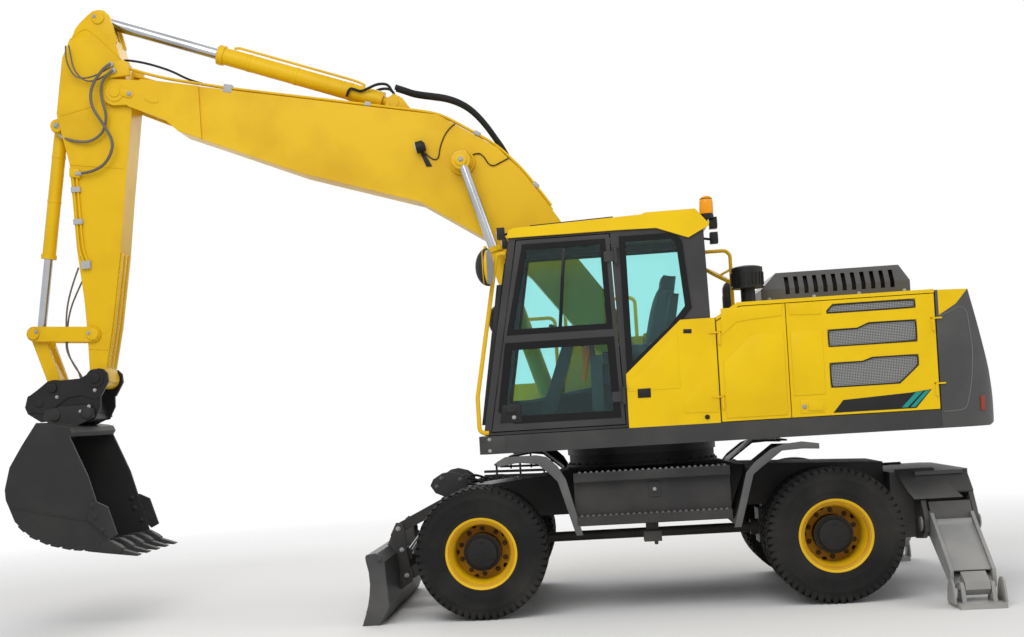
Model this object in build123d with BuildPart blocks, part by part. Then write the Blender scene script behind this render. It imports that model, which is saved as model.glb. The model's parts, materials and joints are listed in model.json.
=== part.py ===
from build123d import *
import os
from math import atan2, cos, degrees, hypot, pi, radians, sin

# Wheeled excavator, in millimetres: X forward, Y to the machine's left, Z up from the ground.
# Every X below is measured from the slewing axis, and slew_x moves the whole machine so that
# the origin is on the ground under the middle of its length.
slew_x = -1385.0

# Clearances between pieces
seat = 0.3
pin_fit = 1.0
panel_gap = 6.0
side_gap = 5.0

# Width of the bodywork, from the middle
half_width = 1250.0

# Wheels and axles
front_axle_x = 1335.0
wheelbase = 2750.0
tyre_radius = 527.5
tyre_width = 278.0
twin_gap = 40.0
tyre_face_y = half_width + 20.0
rim_radius = 254.0
rim_wall = 16.0
lip_radius = 300.0
lip_thick = 12.0
bead_inset = 35.0
disc_y = tyre_face_y - tyre_width - twin_gap / 2
disc_thick = 26.0
hub_radius = 150.0
hub_end_y = disc_y + 148.0
hub_cap_radius = 118.0
hub_cap_y = hub_end_y + 50.0
hub_root_y = disc_y - 187.0
hand_holes = 5
hand_hole_radius = 20.0
hand_hole_circle = 213.0
axle_radius = 100.0
kingpin_y = hub_root_y - 85.0
kingpin_radius = 34.0
rear_axle_x = front_axle_x - wheelbase
axle_z = tyre_radius
tyre_inner_y = tyre_face_y - 2 * tyre_width - twin_gap

# Undercarriage
frame_half = 400.0
frame_bottom_z = 745.0
frame_top_z = 1128.0
frame_rear_x = rear_axle_x - 535.0
nose_x = 1585.0
nose_thick = 40.0
slew_ring_radius = 640.0
slew_ring_top_z = 1230.0
box_outer_y = half_width - 20.0
box_bottom_z = 666.0
box_front_x = front_axle_x - 760.0
box_rear_x = rear_axle_x + 775.0

# Blade and its parallel links: pins in the side view
blade_half = 1240.0
blade_back_x = 2100.0
lower_frame_pin = (1640.0, 490.0)
lower_blade_pin = (2047.0, 300.0)
link_rise = (50.0, 400.0)
blade_ram_foot = (1560.0, 1060.0)
blade_ram_eye = (2040.0, 480.0)
blade_link_y = 350.0
blade_ram_y = 230.0

# Stabilisers: pins in the view from behind
leg_pin = (950.0, 560.0)
pad_pin = (1680.0, 135.0)
rear_frame_x = (frame_rear_x - 610.0, frame_rear_x)
leg_x = (rear_frame_x[0] + 60.0, rear_frame_x[0] + 390.0)

# Upper structure
skirt_bottom_z = 1308.0
skirt_top_z = 1450.0
upper_front_x = 1300.0
weight_x = -2260.0
bracket_y = (205.0, 245.0)
boom_ram_y = 320.0
panel_thick = 40.0
deck_z = 2366.0

# Cab
cab_y = (430.0, half_width - 22.0)
cab_wall = 45.0
cab_floor_z = 1455.0
cab_top_z = 3000.0
door_face_y = half_width - 10.0
door_thick = 47.0
door_hinge = (142.0, half_width + 12.0)
door_hinge_z = (1700.0, 2800.0)

# Pins of the working arm in the side view
boom_foot = (80.0, 1980.0)
boom_ram_foot = (725.0, 1620.0)
boom_ram_eye = (1377.0, 3800.0)
arm_pivot = (4402.0, 4658.0)
arm_ram_foot = (1948.0, 4388.0)
arm_ram_eye = (4530.0, 5340.0)
bucket_ram_foot = (4974.0, 4421.0)
guide_pin = (4743.0, 2547.0)
rod_pin = (5281.0, 2583.0)
nose_pin = (4733.0, 2155.0)
coupler_pin = (5127.0, 2092.0)
ear_pin = (4815.0, 1853.0)

# Widths across the working arm, each measured from the middle
boom_half = 180.0
fork_y = (164.0, 206.0)
arm_half = 150.0
guide_y = (156.0, 182.0)
coupler_y = (190.0, 222.0)
bucket_half = 600.0

os.makedirs("parts", exist_ok=True)


def side(y):
    """Plane of the side view at height y across: local x is forward, local y is up."""
    return Plane(origin=(slew_x, y, 0), x_dir=(1, 0, 0), z_dir=(0, -1, 0))


def level(z):
    """Plane of the view from above at height z."""
    return Plane(origin=(slew_x, 0, z))


def cross(x):
    """Plane across the machine at x: local x is to the left, local y is up."""
    return Plane(origin=(slew_x + x, 0, 0), x_dir=(0, 1, 0), z_dir=(1, 0, 0))


def spot(x, y, z):
    """Point in space, with x from the slewing axis."""
    return Vector(slew_x + x, y, z)


def plate(outline, y_low, y_high, holes=()):
    """Flat plate with an outline in the side view; holes are (x, z, radius)."""
    with BuildPart() as made:
        with BuildSketch(side(y_high)):
            Polygon(*outline, align=None)
            for x, z, radius in holes:
                with Locations((x, z)):
                    Circle(radius, mode=Mode.SUBTRACT)
        extrude(amount=y_high - y_low)
    return made.part


def slab(outline, z_low, z_high):
    """Flat plate with an outline seen from above."""
    with BuildPart() as made:
        with BuildSketch(level(z_low)):
            Polygon(*outline, align=None)
        extrude(amount=z_high - z_low)
    return made.part


def rib(outline, x_low, x_high):
    """Flat plate with an outline seen from the front, as (y, z)."""
    with BuildPart() as made:
        with BuildSketch(cross(x_low)):
            Polygon(*outline, align=None)
        extrude(amount=x_high - x_low)
    return made.part


def block(x_low, x_high, y_low, y_high, z_low, z_high):
    """Straight box between its faces."""
    with BuildPart() as made:
        with BuildSketch(level(z_low)):
            with Locations(((x_low + x_high) / 2, (y_low + y_high) / 2)):
                Rectangle(x_high - x_low, y_high - y_low)
        extrude(amount=z_high - z_low)
    return made.part


def bar(pin, radius, y_low, y_high, bore=0.0):
    """Round bar or boss across the machine at a pin of the side view."""
    with BuildPart() as made:
        with BuildSketch(side(y_high)):
            with Locations(pin):
                Circle(radius)
                if bore > 0:
                    Circle(bore, mode=Mode.SUBTRACT)
        extrude(amount=y_high - y_low)
    return made.part


def link(ends, y_low, y_high):
    """Flat link round its ends; each end is (x, z, radius, bore)."""
    with BuildPart() as made:
        with BuildSketch(side(y_high)):
            for x, z, radius, bore in ends:
                with Locations((x, z)):
                    Circle(radius)
            make_hull()
            for x, z, radius, bore in ends:
                if bore > 0:
                    with Locations((x, z)):
                        Circle(bore, mode=Mode.SUBTRACT)
        extrude(amount=y_high - y_low)
    return made.part


def rod(start, end, radius, bore=0.0):
    """Round bar between two points in space."""
    with BuildPart() as made:
        with BuildSketch(Plane(origin=start, z_dir=end - start)):
            Circle(radius)
            if bore > 0:
                Circle(bore, mode=Mode.SUBTRACT)
        extrude(amount=(end - start).length)
    return made.part


def pipe(points, radius, bend):
    """Round pipe along straight runs joined by bends."""
    with BuildPart() as made:
        with BuildLine() as run:
            FilletPolyline(*points, radius=bend)
        with BuildSketch(Plane(origin=run.line @ 0, z_dir=run.line % 0)):
            Circle(radius)
        sweep(path=run.line)
    return made.part


def both(shape):
    """A shape of the left side and its like on the right."""
    with BuildPart() as made:
        add(shape)
        mirror(about=Plane.XZ)
    return made.part


def along(start, end, distance):
    """Point of the side view on the line from start to end, at a distance from start."""
    length = hypot(end[0] - start[0], end[1] - start[1])
    share = distance / length
    return (start[0] + (end[0] - start[0]) * share, start[1] + (end[1] - start[1]) * share)


def ram_barrel(foot, eye, y, length, size, bore_start, pin_bore):
    """Cylinder barrel on its foot pin, open at the gland; size is (radius, rod radius, eye half)."""
    radius, rod_radius, eye_half = size
    start = along(foot, eye, 1.5 * radius)
    end = along(foot, eye, length)
    collar = along(foot, eye, length - 0.7 * radius)
    inner = along(foot, eye, bore_start)
    past = along(foot, eye, length + radius)
    with BuildPart() as made:
        add(rod(spot(foot[0], y, foot[1]), spot(start[0], y, start[1]), 0.9 * eye_half))
        add(rod(spot(start[0], y, start[1]), spot(end[0], y, end[1]), radius))
        add(rod(spot(collar[0], y, collar[1]), spot(end[0], y, end[1]), 1.16 * radius))
        add(bar(foot, 0.95 * radius, y - eye_half, y + eye_half))
        add(rod(spot(inner[0], y, inner[1]), spot(past[0], y, past[1]), rod_radius + pin_fit),
            mode=Mode.SUBTRACT)
        add(bar(foot, pin_bore, y - 2 * radius, y + 2 * radius), mode=Mode.SUBTRACT)
    return made.part


def ram_rod(foot, eye, y, length, size, eye_radius, pin_bore):
    """Piston rod that ends in its eye, with so much length behind the eye."""
    radius, rod_radius, eye_half = size
    whole = hypot(eye[0] - foot[0], eye[1] - foot[1])
    start = along(foot, eye, whole - length)
    with BuildPart() as made:
        add(rod(spot(start[0], y, start[1]), spot(eye[0], y, eye[1]), rod_radius))
        add(bar(eye, eye_radius, y - eye_half, y + eye_half))
        if pin_bore > 0:
            add(bar(eye, pin_bore, y - 2 * radius, y + 2 * radius), mode=Mode.SUBTRACT)
    return made.part


def save(made, label):
    """Name a finished piece and write it."""
    made.part.label = label
    export_step(made.part, f"parts/{label}.step")


# Undercarriage frame: a welded box beam with a cross wall in front that carries the blade
# links, and a hanger behind the front axle.
upper_frame_pin = (lower_frame_pin[0] + link_rise[0], lower_frame_pin[1] + link_rise[1])
upper_blade_pin = (lower_blade_pin[0] + link_rise[0], lower_blade_pin[1] + link_rise[1])
nose_back_x = nose_x - nose_thick
link_half = 24.0
lug_thick = 26.0
blade_pin_radius = 25.0
lug_inner_y = blade_link_y - link_half - side_gap
lug_outer_y = blade_link_y + link_half + side_gap
trunnion_radius = 60.0
hanger_x = (front_axle_x - 330, front_axle_x - 300)
beam_side = [
    (frame_rear_x + seat, frame_bottom_z), (frame_rear_x + seat, 1040), (box_rear_x - 120, 1090),
    (box_rear_x, frame_top_z), (box_front_x + 40, frame_top_z), (box_front_x + 185, 1085),
    (nose_back_x, 1010), (nose_back_x, frame_bottom_z),
]
frame_lug = [
    (nose_x, 400), (lower_frame_pin[0] + 40, 430), (lower_frame_pin[0] + 60, 500),
    (upper_frame_pin[0] + 10, 800), (upper_frame_pin[0] + 50, 880), (upper_frame_pin[0] + 20, 945),
    (nose_x - 10, 948),
]
with BuildPart() as chassis_frame:
    add(plate(beam_side, -frame_half, frame_half))
    add(block(nose_back_x, nose_x, -frame_half - 10, frame_half + 10, 400, 950))
    add(block(hanger_x[0], hanger_x[1], -200, 200, 430, frame_bottom_z + 20))
    add(both(plate(frame_lug, lug_inner_y - lug_thick, lug_inner_y)))
    add(both(plate(frame_lug, lug_outer_y, lug_outer_y + lug_thick)))
    for pin in (lower_frame_pin, upper_frame_pin):
        add(both(bar(pin, blade_pin_radius, lug_inner_y - lug_thick, lug_outer_y + lug_thick + 8)))
    ram_lug = [(nose_back_x - 70, 900), (blade_ram_foot[0] - 50, blade_ram_foot[1] + 20),
               (blade_ram_foot[0] - 20, blade_ram_foot[1] + 50),
               (blade_ram_foot[0] + 25, blade_ram_foot[1] + 45),
               (blade_ram_foot[0] + 42, blade_ram_foot[1]), (blade_ram_foot[0] + 12, blade_ram_foot[1] - 60),
               (nose_x - 25, 900)]
    for inner in (blade_ram_y - 30 - side_gap - 24, blade_ram_y + 30 + side_gap):
        add(both(plate(ram_lug, inner, inner + 24)))
    add(both(bar(blade_ram_foot, 22, blade_ram_y - 59, blade_ram_y + 59)))
    with BuildSketch(cross(hanger_x[0])):
        with Locations((0, axle_z)):
            Circle(trunnion_radius + seat)
    extrude(amount=hanger_x[1] - hanger_x[0], mode=Mode.SUBTRACT)
save(chassis_frame, "chassis_frame")

# Slewing ring: the toothed race bolted to the frame
with BuildPart() as slew_ring:
    with BuildSketch(level(frame_top_z)):
        Circle(slew_ring_radius)
        Circle(slew_ring_radius - 110, mode=Mode.SUBTRACT)
    extrude(amount=24)
    with BuildSketch(level(frame_top_z + 24)):
        Circle(slew_ring_radius - 24)
        Circle(slew_ring_radius - 110, mode=Mode.SUBTRACT)
    extrude(amount=slew_ring_top_z - frame_top_z - 24)
save(slew_ring, "slew_ring")

# Axles: a housing with the differential in the middle. The front one ends in forks for the
# kingpins and turns on a trunnion between the cross wall and the hanger.
diff_radius = 200.0
front_diff_radius = 135.0
fork_half_x = 52.0
fork_height = 165.0
fork_arm = 45.0
fork_wall = 32.0
fork_root_y = kingpin_y - 140.0
fork_end_y = kingpin_y + 48.0
spacer = Plane(origin=(slew_x + front_axle_x, 0, axle_z), x_dir=(0, 1, 0), z_dir=(1, 0, 0))
diff_profile = [(0, 0), (230, 0), (230, axle_radius), (150, 175), (60, diff_radius), (0, diff_radius)]
front_diff = [(0, 0), (230, 0), (230, axle_radius), (60, front_diff_radius), (0, front_diff_radius)]
with BuildPart() as front_axle:
    with BuildSketch(spacer):
        Polygon(*front_diff, align=None)
        mirror(about=Plane.YZ)
    revolve(axis=Axis((slew_x + front_axle_x, 0, axle_z), (0, 1, 0)))
    add(bar((front_axle_x, axle_z), axle_radius, -fork_root_y - 20, fork_root_y + 20))
    fork = [(fork_root_y, axle_z - fork_height), (fork_end_y, axle_z - fork_height),
            (fork_end_y, axle_z - fork_height + fork_arm), (fork_root_y + fork_wall, axle_z - fork_height + fork_arm),
            (fork_root_y + fork_wall, axle_z + fork_height - fork_arm), (fork_end_y, axle_z + fork_height - fork_arm),
            (fork_end_y, axle_z + fork_height), (fork_root_y, axle_z + fork_height)]
    add(both(rib(fork, front_axle_x - fork_half_x, front_axle_x + fork_half_x)))
    with BuildSketch(cross(hanger_x[0] - 16)):
        with Locations((0, axle_z)):
            Circle(trunnion_radius)
    extrude(amount=nose_back_x - seat - hanger_x[0] + 16)
    with BuildSketch(level(axle_z - fork_height - 10)):
        with Locations((front_axle_x, kingpin_y), (front_axle_x, -kingpin_y)):
            Circle(kingpin_radius + pin_fit)
    extrude(amount=2 * fork_height + 20, mode=Mode.SUBTRACT)
save(front_axle, "front_axle")

# The rear axle carries the gearbox and the shaft to the front axle
saddle_x = 110.0
gearbox_x = (rear_axle_x + 190, rear_axle_x + 470)
shaft_end_x = hanger_x[0] - 16 - seat
with BuildPart() as rear_axle:
    with BuildSketch(Plane(origin=(slew_x + rear_axle_x, 0, axle_z), x_dir=(0, 1, 0), z_dir=(1, 0, 0))):
        Polygon(*diff_profile, align=None)
        mirror(about=Plane.YZ)
    revolve(axis=Axis((slew_x + rear_axle_x, 0, axle_z), (0, 1, 0)))
    add(bar((rear_axle_x, axle_z), axle_radius, -hub_root_y + seat, hub_root_y - seat))
    add(both(bar((rear_axle_x, axle_z), 165, 600, 660)))
    add(both(block(rear_axle_x - saddle_x, rear_axle_x + saddle_x, 290, 380, axle_z, frame_bottom_z - seat)))
    add(block(gearbox_x[0], gearbox_x[1], -150, 150, 400, 690))
    add(block(gearbox_x[0] + 60, gearbox_x[1] - 40, -90, 90, 680, frame_bottom_z - seat))
    add(rod(spot(gearbox_x[1] - 10, 0, axle_z), spot(shaft_end_x, 0, axle_z), 42))
    add(rod(spot(gearbox_x[1], 0, axle_z), spot(gearbox_x[1] + 60, 0, axle_z), 66))
    add(rod(spot(shaft_end_x - 60, 0, axle_z), spot(shaft_end_x, 0, axle_z), 66))
save(rear_axle, "rear_axle")

# Side boxes for tools between the wheels, with a step along the top and the bottom
step_depth = 60.0
step_height = 72.0
step_z = (702.0, 1044.0)
box_face_y = box_outer_y - step_depth
with BuildPart() as side_boxes:
    add(both(block(box_rear_x, box_front_x, frame_half + seat, box_face_y, box_bottom_z + 30, frame_top_z - 20)))
    for z in step_z:
        add(both(block(box_rear_x, box_front_x, box_face_y - 60, box_outer_y, z, z + step_height)))
save(side_boxes, "side_boxes")

# Mudguards: bent flat bands over the wheels, each on a bracket from the frame
guard_thick = 14.0
guard_inner_y = 690.0
front_post_x = front_axle_x - 631
rear_post_x = rear_axle_x + 587
front_band = [(front_axle_x - 145, 1222), (front_axle_x - 443, 1259), (front_post_x, 1098), (box_front_x + 8, 690)]
rear_band = [(box_rear_x - 8, 660), (rear_post_x + 16, 1083), (rear_axle_x + 387, 1241), (rear_axle_x + 90, 1232)]
guard_posts = [(front_post_x, 1040), (rear_post_x, 1040)]
with BuildPart() as mudguards:
    for band in (front_band, rear_band):
        with BuildSketch(side(box_outer_y)):
            with BuildLine():
                Polyline(*band)
            trace(line_width=guard_thick)
        extrude(amount=box_outer_y - guard_inner_y)
    for x, z in guard_posts:
        add(block(x - 12, x + 12, frame_half + seat, guard_inner_y + 30, z - 10, z + 50))
    mirror(about=Plane.XZ)
save(mudguards, "mudguards")

# Stabiliser frame: a cross housing behind the frame with lugs for the legs
lug_x = ((leg_x[0] - side_gap - 36, leg_x[0] - side_gap), (leg_x[1] + side_gap, leg_x[1] + side_gap + 36))
lug_side = [(650, 420), (900, 440), (leg_pin[0] + 70, 500), (leg_pin[0] + 80, 600),
            (leg_pin[0] + 40, 660), (880, 800), (650, 960)]
with BuildPart() as stabiliser_frame:
    add(block(rear_frame_x[0], rear_frame_x[1], -660, 660, 430, 960))
    add(both(block(rear_frame_x[0] + 60, lug_x[1][1], 600, 760, 930, 960)))
    for x_low, x_high in lug_x:
        add(both(rib(lug_side, x_low, x_high)))
    cover = [(650, 960), (700, 960), (900, 800), (890, 786), (690, 940), (650, 940)]
    add(both(rib(cover, lug_x[0][0], lug_x[1][1])))
    leg_pin_bar = [(lug_x[0][0] - 12, lug_x[1][1] + 12)]
    for x_low, x_high in leg_pin_bar:
        for hand in (1, -1):
            add(rod(spot(x_low, hand * leg_pin[0], leg_pin[1]), spot(x_high, hand * leg_pin[0], leg_pin[1]), 40))
save(stabiliser_frame, "stabiliser_frame")

# Stabiliser legs: two side plates on a floor plate, bored for the pivot, with round feet
# pinned at the ends.
leg_plate = 26.0
leg_angle = atan2(pad_pin[1] - leg_pin[1], pad_pin[0] - leg_pin[0])
foot_x = ((leg_x[0] + leg_x[1]) / 2 - 90, (leg_x[0] + leg_x[1]) / 2 + 90)
leg_outline = [(leg_pin[0] - 20, leg_pin[1] + 95), (leg_pin[0] - 90, leg_pin[1] + 20),
               (leg_pin[0] - 60, leg_pin[1] - 80), (leg_pin[0] + 30, leg_pin[1] - 110),
               (pad_pin[0] - 60, pad_pin[1] - 20), (pad_pin[0], pad_pin[1] - 55),
               (pad_pin[0] + 50, pad_pin[1] - 20), (pad_pin[0] + 50, pad_pin[1] + 40),
               (pad_pin[0] - 60, pad_pin[1] + 110), (leg_pin[0] + 90, leg_pin[1] + 85)]
leg_floor = [(leg_pin[0] - 60, leg_pin[1] - 80), (leg_pin[0] + 30, leg_pin[1] - 110),
             (pad_pin[0] - 60, pad_pin[1] - 20), (pad_pin[0] - 50, pad_pin[1] + 15),
             (leg_pin[0] + 40, leg_pin[1] - 78), (leg_pin[0] - 50, leg_pin[1] - 48)]
pad_half_x = 165.0
pad_half_y = 200.0
pad_thick = 36.0
pad_lug = 30.0


def leg(hand):
    """Leg of one side: hand is 1 on the left and -1 on the right."""
    outline = [(hand * y, z) for y, z in leg_outline]
    floor = [(hand * y, z) for y, z in leg_floor]
    with BuildPart() as made:
        add(rib(outline, leg_x[0], leg_x[0] + leg_plate))
        add(rib(outline, leg_x[1] - leg_plate, leg_x[1]))
        add(rib(floor, leg_x[0], leg_x[1]))
        foot = [(hand * y, z) for y, z in ((pad_pin[0] - 130, pad_pin[1] + 15), (pad_pin[0], pad_pin[1] - 55),
                                          (pad_pin[0] + 50, pad_pin[1] - 10), (pad_pin[0] + 40, pad_pin[1] + 45),
                                          (pad_pin[0] - 90, pad_pin[1] + 110))]
        add(rib(foot, foot_x[0], foot_x[1]))
        end = spot(leg_x[1], hand * pad_pin[0], pad_pin[1])
        for x_low, x_high in ((leg_x[0] - 1, foot_x[0]), (foot_x[1], leg_x[1] + 1)):
            trim = [(hand * y, z) for y, z in ((pad_pin[0] - 80, pad_pin[1] - 90), (pad_pin[0] + 80, pad_pin[1] - 90),
                                              (pad_pin[0] + 80, pad_pin[1] + 140), (pad_pin[0] - 80, pad_pin[1] + 140))]
            add(rib(trim, x_low, x_high), mode=Mode.SUBTRACT)
        add(rod(spot(leg_x[0] - 5, hand * leg_pin[0], leg_pin[1]),
                spot(leg_x[1] + 5, hand * leg_pin[0], leg_pin[1]), 40 + pin_fit), mode=Mode.SUBTRACT)
        add(rod(spot(foot_x[0] - 5, hand * pad_pin[0], pad_pin[1]),
                spot(foot_x[1] + 5, hand * pad_pin[0], pad_pin[1]), 24 + pin_fit), mode=Mode.SUBTRACT)
    return made.part


def pad(hand):
    """Ground pad of one side, with two lugs beside the leg's foot."""
    with BuildPart() as made:
        middle = (leg_x[0] + leg_x[1]) / 2
        add(block(middle - pad_half_x, middle + pad_half_x, hand * pad_pin[0] - pad_half_y,
                  hand * pad_pin[0] + pad_half_y, 0, pad_thick))
        lug_outline = [(hand * pad_pin[0] - 90, pad_thick - 2), (hand * pad_pin[0] + 90, pad_thick - 2),
                       (hand * pad_pin[0] + 42, pad_pin[1] + 20), (hand * pad_pin[0] + 20, pad_pin[1] + 42),
                       (hand * pad_pin[0] - 20, pad_pin[1] + 42), (hand * pad_pin[0] - 42, pad_pin[1] + 20)]
        add(rib(lug_outline, foot_x[0] - side_gap - pad_lug, foot_x[0] - side_gap))
        add(rib(lug_outline, foot_x[1] + side_gap, foot_x[1] + side_gap + pad_lug))
        add(rod(spot(foot_x[0] - side_gap - pad_lug - 8, hand * pad_pin[0], pad_pin[1]),
                spot(foot_x[1] + side_gap + pad_lug + 8, hand * pad_pin[0], pad_pin[1]), 24))
    return made.part


for name, hand in (("left", 1), ("right", -1)):
    with BuildPart() as leg_part:
        add(leg(hand))
    save(leg_part, f"stabiliser_leg_{name}")
    with BuildPart() as pad_part:
        add(pad(hand))
    save(pad_part, f"stabiliser_pad_{name}")

# Wheels: twin tyres on one rim with a planetary hub. Profiles are (y, radius) for the left.
tyre_profile = [
    (bead_inset, rim_radius + seat), (bead_inset, lip_radius + 2), (16, lip_radius + 12), (0, 400), (4, 440), (14, 490),
    (42, tyre_radius), (tyre_width / 2, tyre_radius),
]


def tyres(axle_x, hand):
    """Twin tyres of one wheel."""
    with BuildPart() as made:
        for face in (tyre_face_y, tyre_face_y - tyre_width - twin_gap):
            outer = [(hand * (face - y), radius) for y, radius in tyre_profile]
            inner = [(hand * (face - tyre_width + y), radius) for y, radius in reversed(tyre_profile[:-1])]
            with BuildSketch(Plane(origin=spot(axle_x, 0, axle_z), x_dir=(0, 1, 0), z_dir=(1, 0, 0))):
                Polygon(*outer, *inner, align=None)
            revolve(axis=Axis(spot(axle_x, 0, axle_z), (0, 1, 0)))
    return made.part


def rim(axle_x, hand):
    """Rim, disc and hub of one wheel."""
    outer_y = tyre_face_y - bead_inset + seat
    inner_y = tyre_inner_y + bead_inset - seat
    well = rim_radius - rim_wall
    profile = [
        (hub_root_y, 0), (hub_cap_y, 0), (hub_cap_y, hub_cap_radius - 12), (hub_cap_y - 12, hub_cap_radius),
        (hub_end_y, hub_cap_radius), (hub_end_y, hub_radius), (disc_y + disc_thick / 2, hub_radius),
        (disc_y + disc_thick / 2, well), (outer_y - 4, well + 4), (outer_y + lip_thick, lip_radius - 18),
        (outer_y + lip_thick, lip_radius), (outer_y, lip_radius), (outer_y, rim_radius),
        (inner_y, rim_radius), (inner_y, lip_radius), (inner_y - lip_thick, lip_radius),
        (inner_y - lip_thick, well), (disc_y - disc_thick / 2, well), (disc_y - disc_thick / 2, hub_radius - 20),
        (hub_root_y, hub_radius - 20),
    ]
    with BuildPart() as made:
        with BuildSketch(Plane(origin=spot(axle_x, 0, axle_z), x_dir=(0, 1, 0), z_dir=(1, 0, 0))):
            Polygon(*[(hand * y, radius) for y, radius in profile], align=None)
        revolve(axis=Axis(spot(axle_x, 0, axle_z), (0, 1, 0)))
        with BuildSketch(Plane(origin=spot(axle_x, hand * disc_y, axle_z), x_dir=(1, 0, 0), z_dir=(0, -1, 0))):
            with PolarLocations(hand_hole_circle, hand_holes):
                Circle(hand_hole_radius)
        extrude(amount=disc_thick, both=True, mode=Mode.SUBTRACT)
    return made.part


for name, axle_x, hand in (("front_left", front_axle_x, 1), ("front_right", front_axle_x, -1),
                           ("rear_left", rear_axle_x, 1), ("rear_right", rear_axle_x, -1)):
    with BuildPart() as tyre_part:
        add(tyres(axle_x, hand))
    save(tyre_part, f"tyres_{name}")
    with BuildPart() as rim_part:
        add(rim(axle_x, hand))
    save(rim_part, f"rim_{name}")

# Steering knuckles between the fork arms, with an arm back to the steering rod
knuckle_half = fork_height - fork_arm - 1.0
steer_arm_x = front_axle_x - 130
steer_arm_y = kingpin_y - 30
steer_arm_z = (axle_z - 80, axle_z - 52)
steer_rod_z = axle_z - 96


def knuckle(hand):
    """Knuckle of one side, with its kingpins and the spindle flange."""
    with BuildPart() as made:
        add(rod(spot(front_axle_x, hand * kingpin_y, axle_z - knuckle_half),
                spot(front_axle_x, hand * kingpin_y, axle_z + knuckle_half), 62))
        add(rod(spot(front_axle_x, hand * kingpin_y, axle_z - fork_height - 14),
                spot(front_axle_x, hand * kingpin_y, axle_z + fork_height + 14), kingpin_radius))
        add(rod(spot(front_axle_x, hand * (kingpin_y - 40), axle_z),
                spot(front_axle_x, hand * (hub_root_y - seat), axle_z), 90))
        arm_outline = [(front_axle_x, hand * (kingpin_y - 45)), (front_axle_x, hand * (kingpin_y - 20)),
                       (steer_arm_x - 30, hand * (steer_arm_y + 25)), (steer_arm_x - 30, hand * (steer_arm_y - 25)),
                       (steer_arm_x + 20, hand * (steer_arm_y - 30)), (front_axle_x - 60, hand * (kingpin_y - 62))]
        add(slab(arm_outline, steer_arm_z[0], steer_arm_z[1]))
    return made.part


for name, hand in (("left", 1), ("right", -1)):
    with BuildPart() as knuckle_part:
        add(knuckle(hand))
    save(knuckle_part, f"knuckle_{name}")

# Steering rod behind the front axle, with flat ends under the knuckle arms
with BuildPart() as steering_rod:
    add(rod(spot(steer_arm_x, -steer_arm_y, steer_rod_z), spot(steer_arm_x, steer_arm_y, steer_rod_z), 16))
    add(rod(spot(steer_arm_x, -330, steer_rod_z), spot(steer_arm_x, 330, steer_rod_z), 20))
    for hand in (1, -1):
        add(rod(spot(steer_arm_x, hand * steer_arm_y, steer_rod_z - 16),
                spot(steer_arm_x, hand * steer_arm_y, steer_arm_z[0] - 0.6), 24))
save(steering_rod, "steering_rod")

# Blade: a box section with a hollow front, end plates and lugs for the links behind it
blade_side = [
    (2310, 0), (2235, 210), (2222, 330), (2238, 470), (2262, 560), (2180, 565), (blade_back_x + 20, 500),
    (blade_back_x, 150), (2160, 10), (2200, 0),
]
blade_end = [(2316, 0), (2268, 565), (2180, 575), (blade_back_x + 10, 500), (blade_back_x - 6, 140), (2180, 0)]
blade_lug = [(blade_back_x + 40, 180), (lower_blade_pin[0] - 30, lower_blade_pin[1] - 40),
             (lower_blade_pin[0] - 42, lower_blade_pin[1] + 20), (lower_blade_pin[0], lower_blade_pin[1] + 60),
             (upper_blade_pin[0] - 45, upper_blade_pin[1] - 20), (upper_blade_pin[0] - 30, upper_blade_pin[1] + 40),
             (upper_blade_pin[0] + 20, upper_blade_pin[1] + 45), (2200, 560)]
with BuildPart() as blade:
    add(plate(blade_side, -blade_half, blade_half))
    add(both(plate(blade_end, blade_half - 24, blade_half + 10)))
    for y_low in (lug_inner_y - lug_thick, lug_outer_y):
        add(both(plate(blade_lug, y_low, y_low + lug_thick)))
    for pin in (lower_blade_pin, upper_blade_pin):
        add(both(bar(pin, blade_pin_radius, lug_inner_y - lug_thick, lug_outer_y + lug_thick + 8)))
    for inner in (blade_ram_y - 30 - side_gap - 22, blade_ram_y + 30 + side_gap):
        lug_outline = [(blade_back_x + 40, 400), (blade_ram_eye[0] - 30, 430), (blade_ram_eye[0] - 34, 500),
                       (blade_ram_eye[0], 530), (blade_back_x + 60, 560)]
        add(both(plate(lug_outline, inner, inner + 22)))
save(blade, "blade")

link_bore = blade_pin_radius + pin_fit
with BuildPart() as blade_links_lower:
    add(both(link([(*lower_frame_pin, 52, link_bore), (*lower_blade_pin, 48, link_bore)],
                  blade_link_y - link_half, blade_link_y + link_half)))
save(blade_links_lower, "blade_links_lower")

with BuildPart() as blade_links_upper:
    add(both(link([(*upper_frame_pin, 46, link_bore), (*upper_blade_pin, 42, link_bore)],
                  blade_link_y - link_half, blade_link_y + link_half)))
save(blade_links_upper, "blade_links_upper")

# Blade cylinders: radius, rod radius and half width of the eye
blade_ram = (42.0, 25.0, 30.0)
with BuildPart() as blade_barrels:
    add(both(ram_barrel(blade_ram_foot, blade_ram_eye, blade_ram_y, 440, blade_ram, 120, 22 + pin_fit)))
save(blade_barrels, "blade_barrels")
with BuildPart() as blade_rods:
    add(both(ram_rod(blade_ram_foot, blade_ram_eye, blade_ram_y, 400, blade_ram, 36, 0)))
save(blade_rods, "blade_rods")

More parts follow.
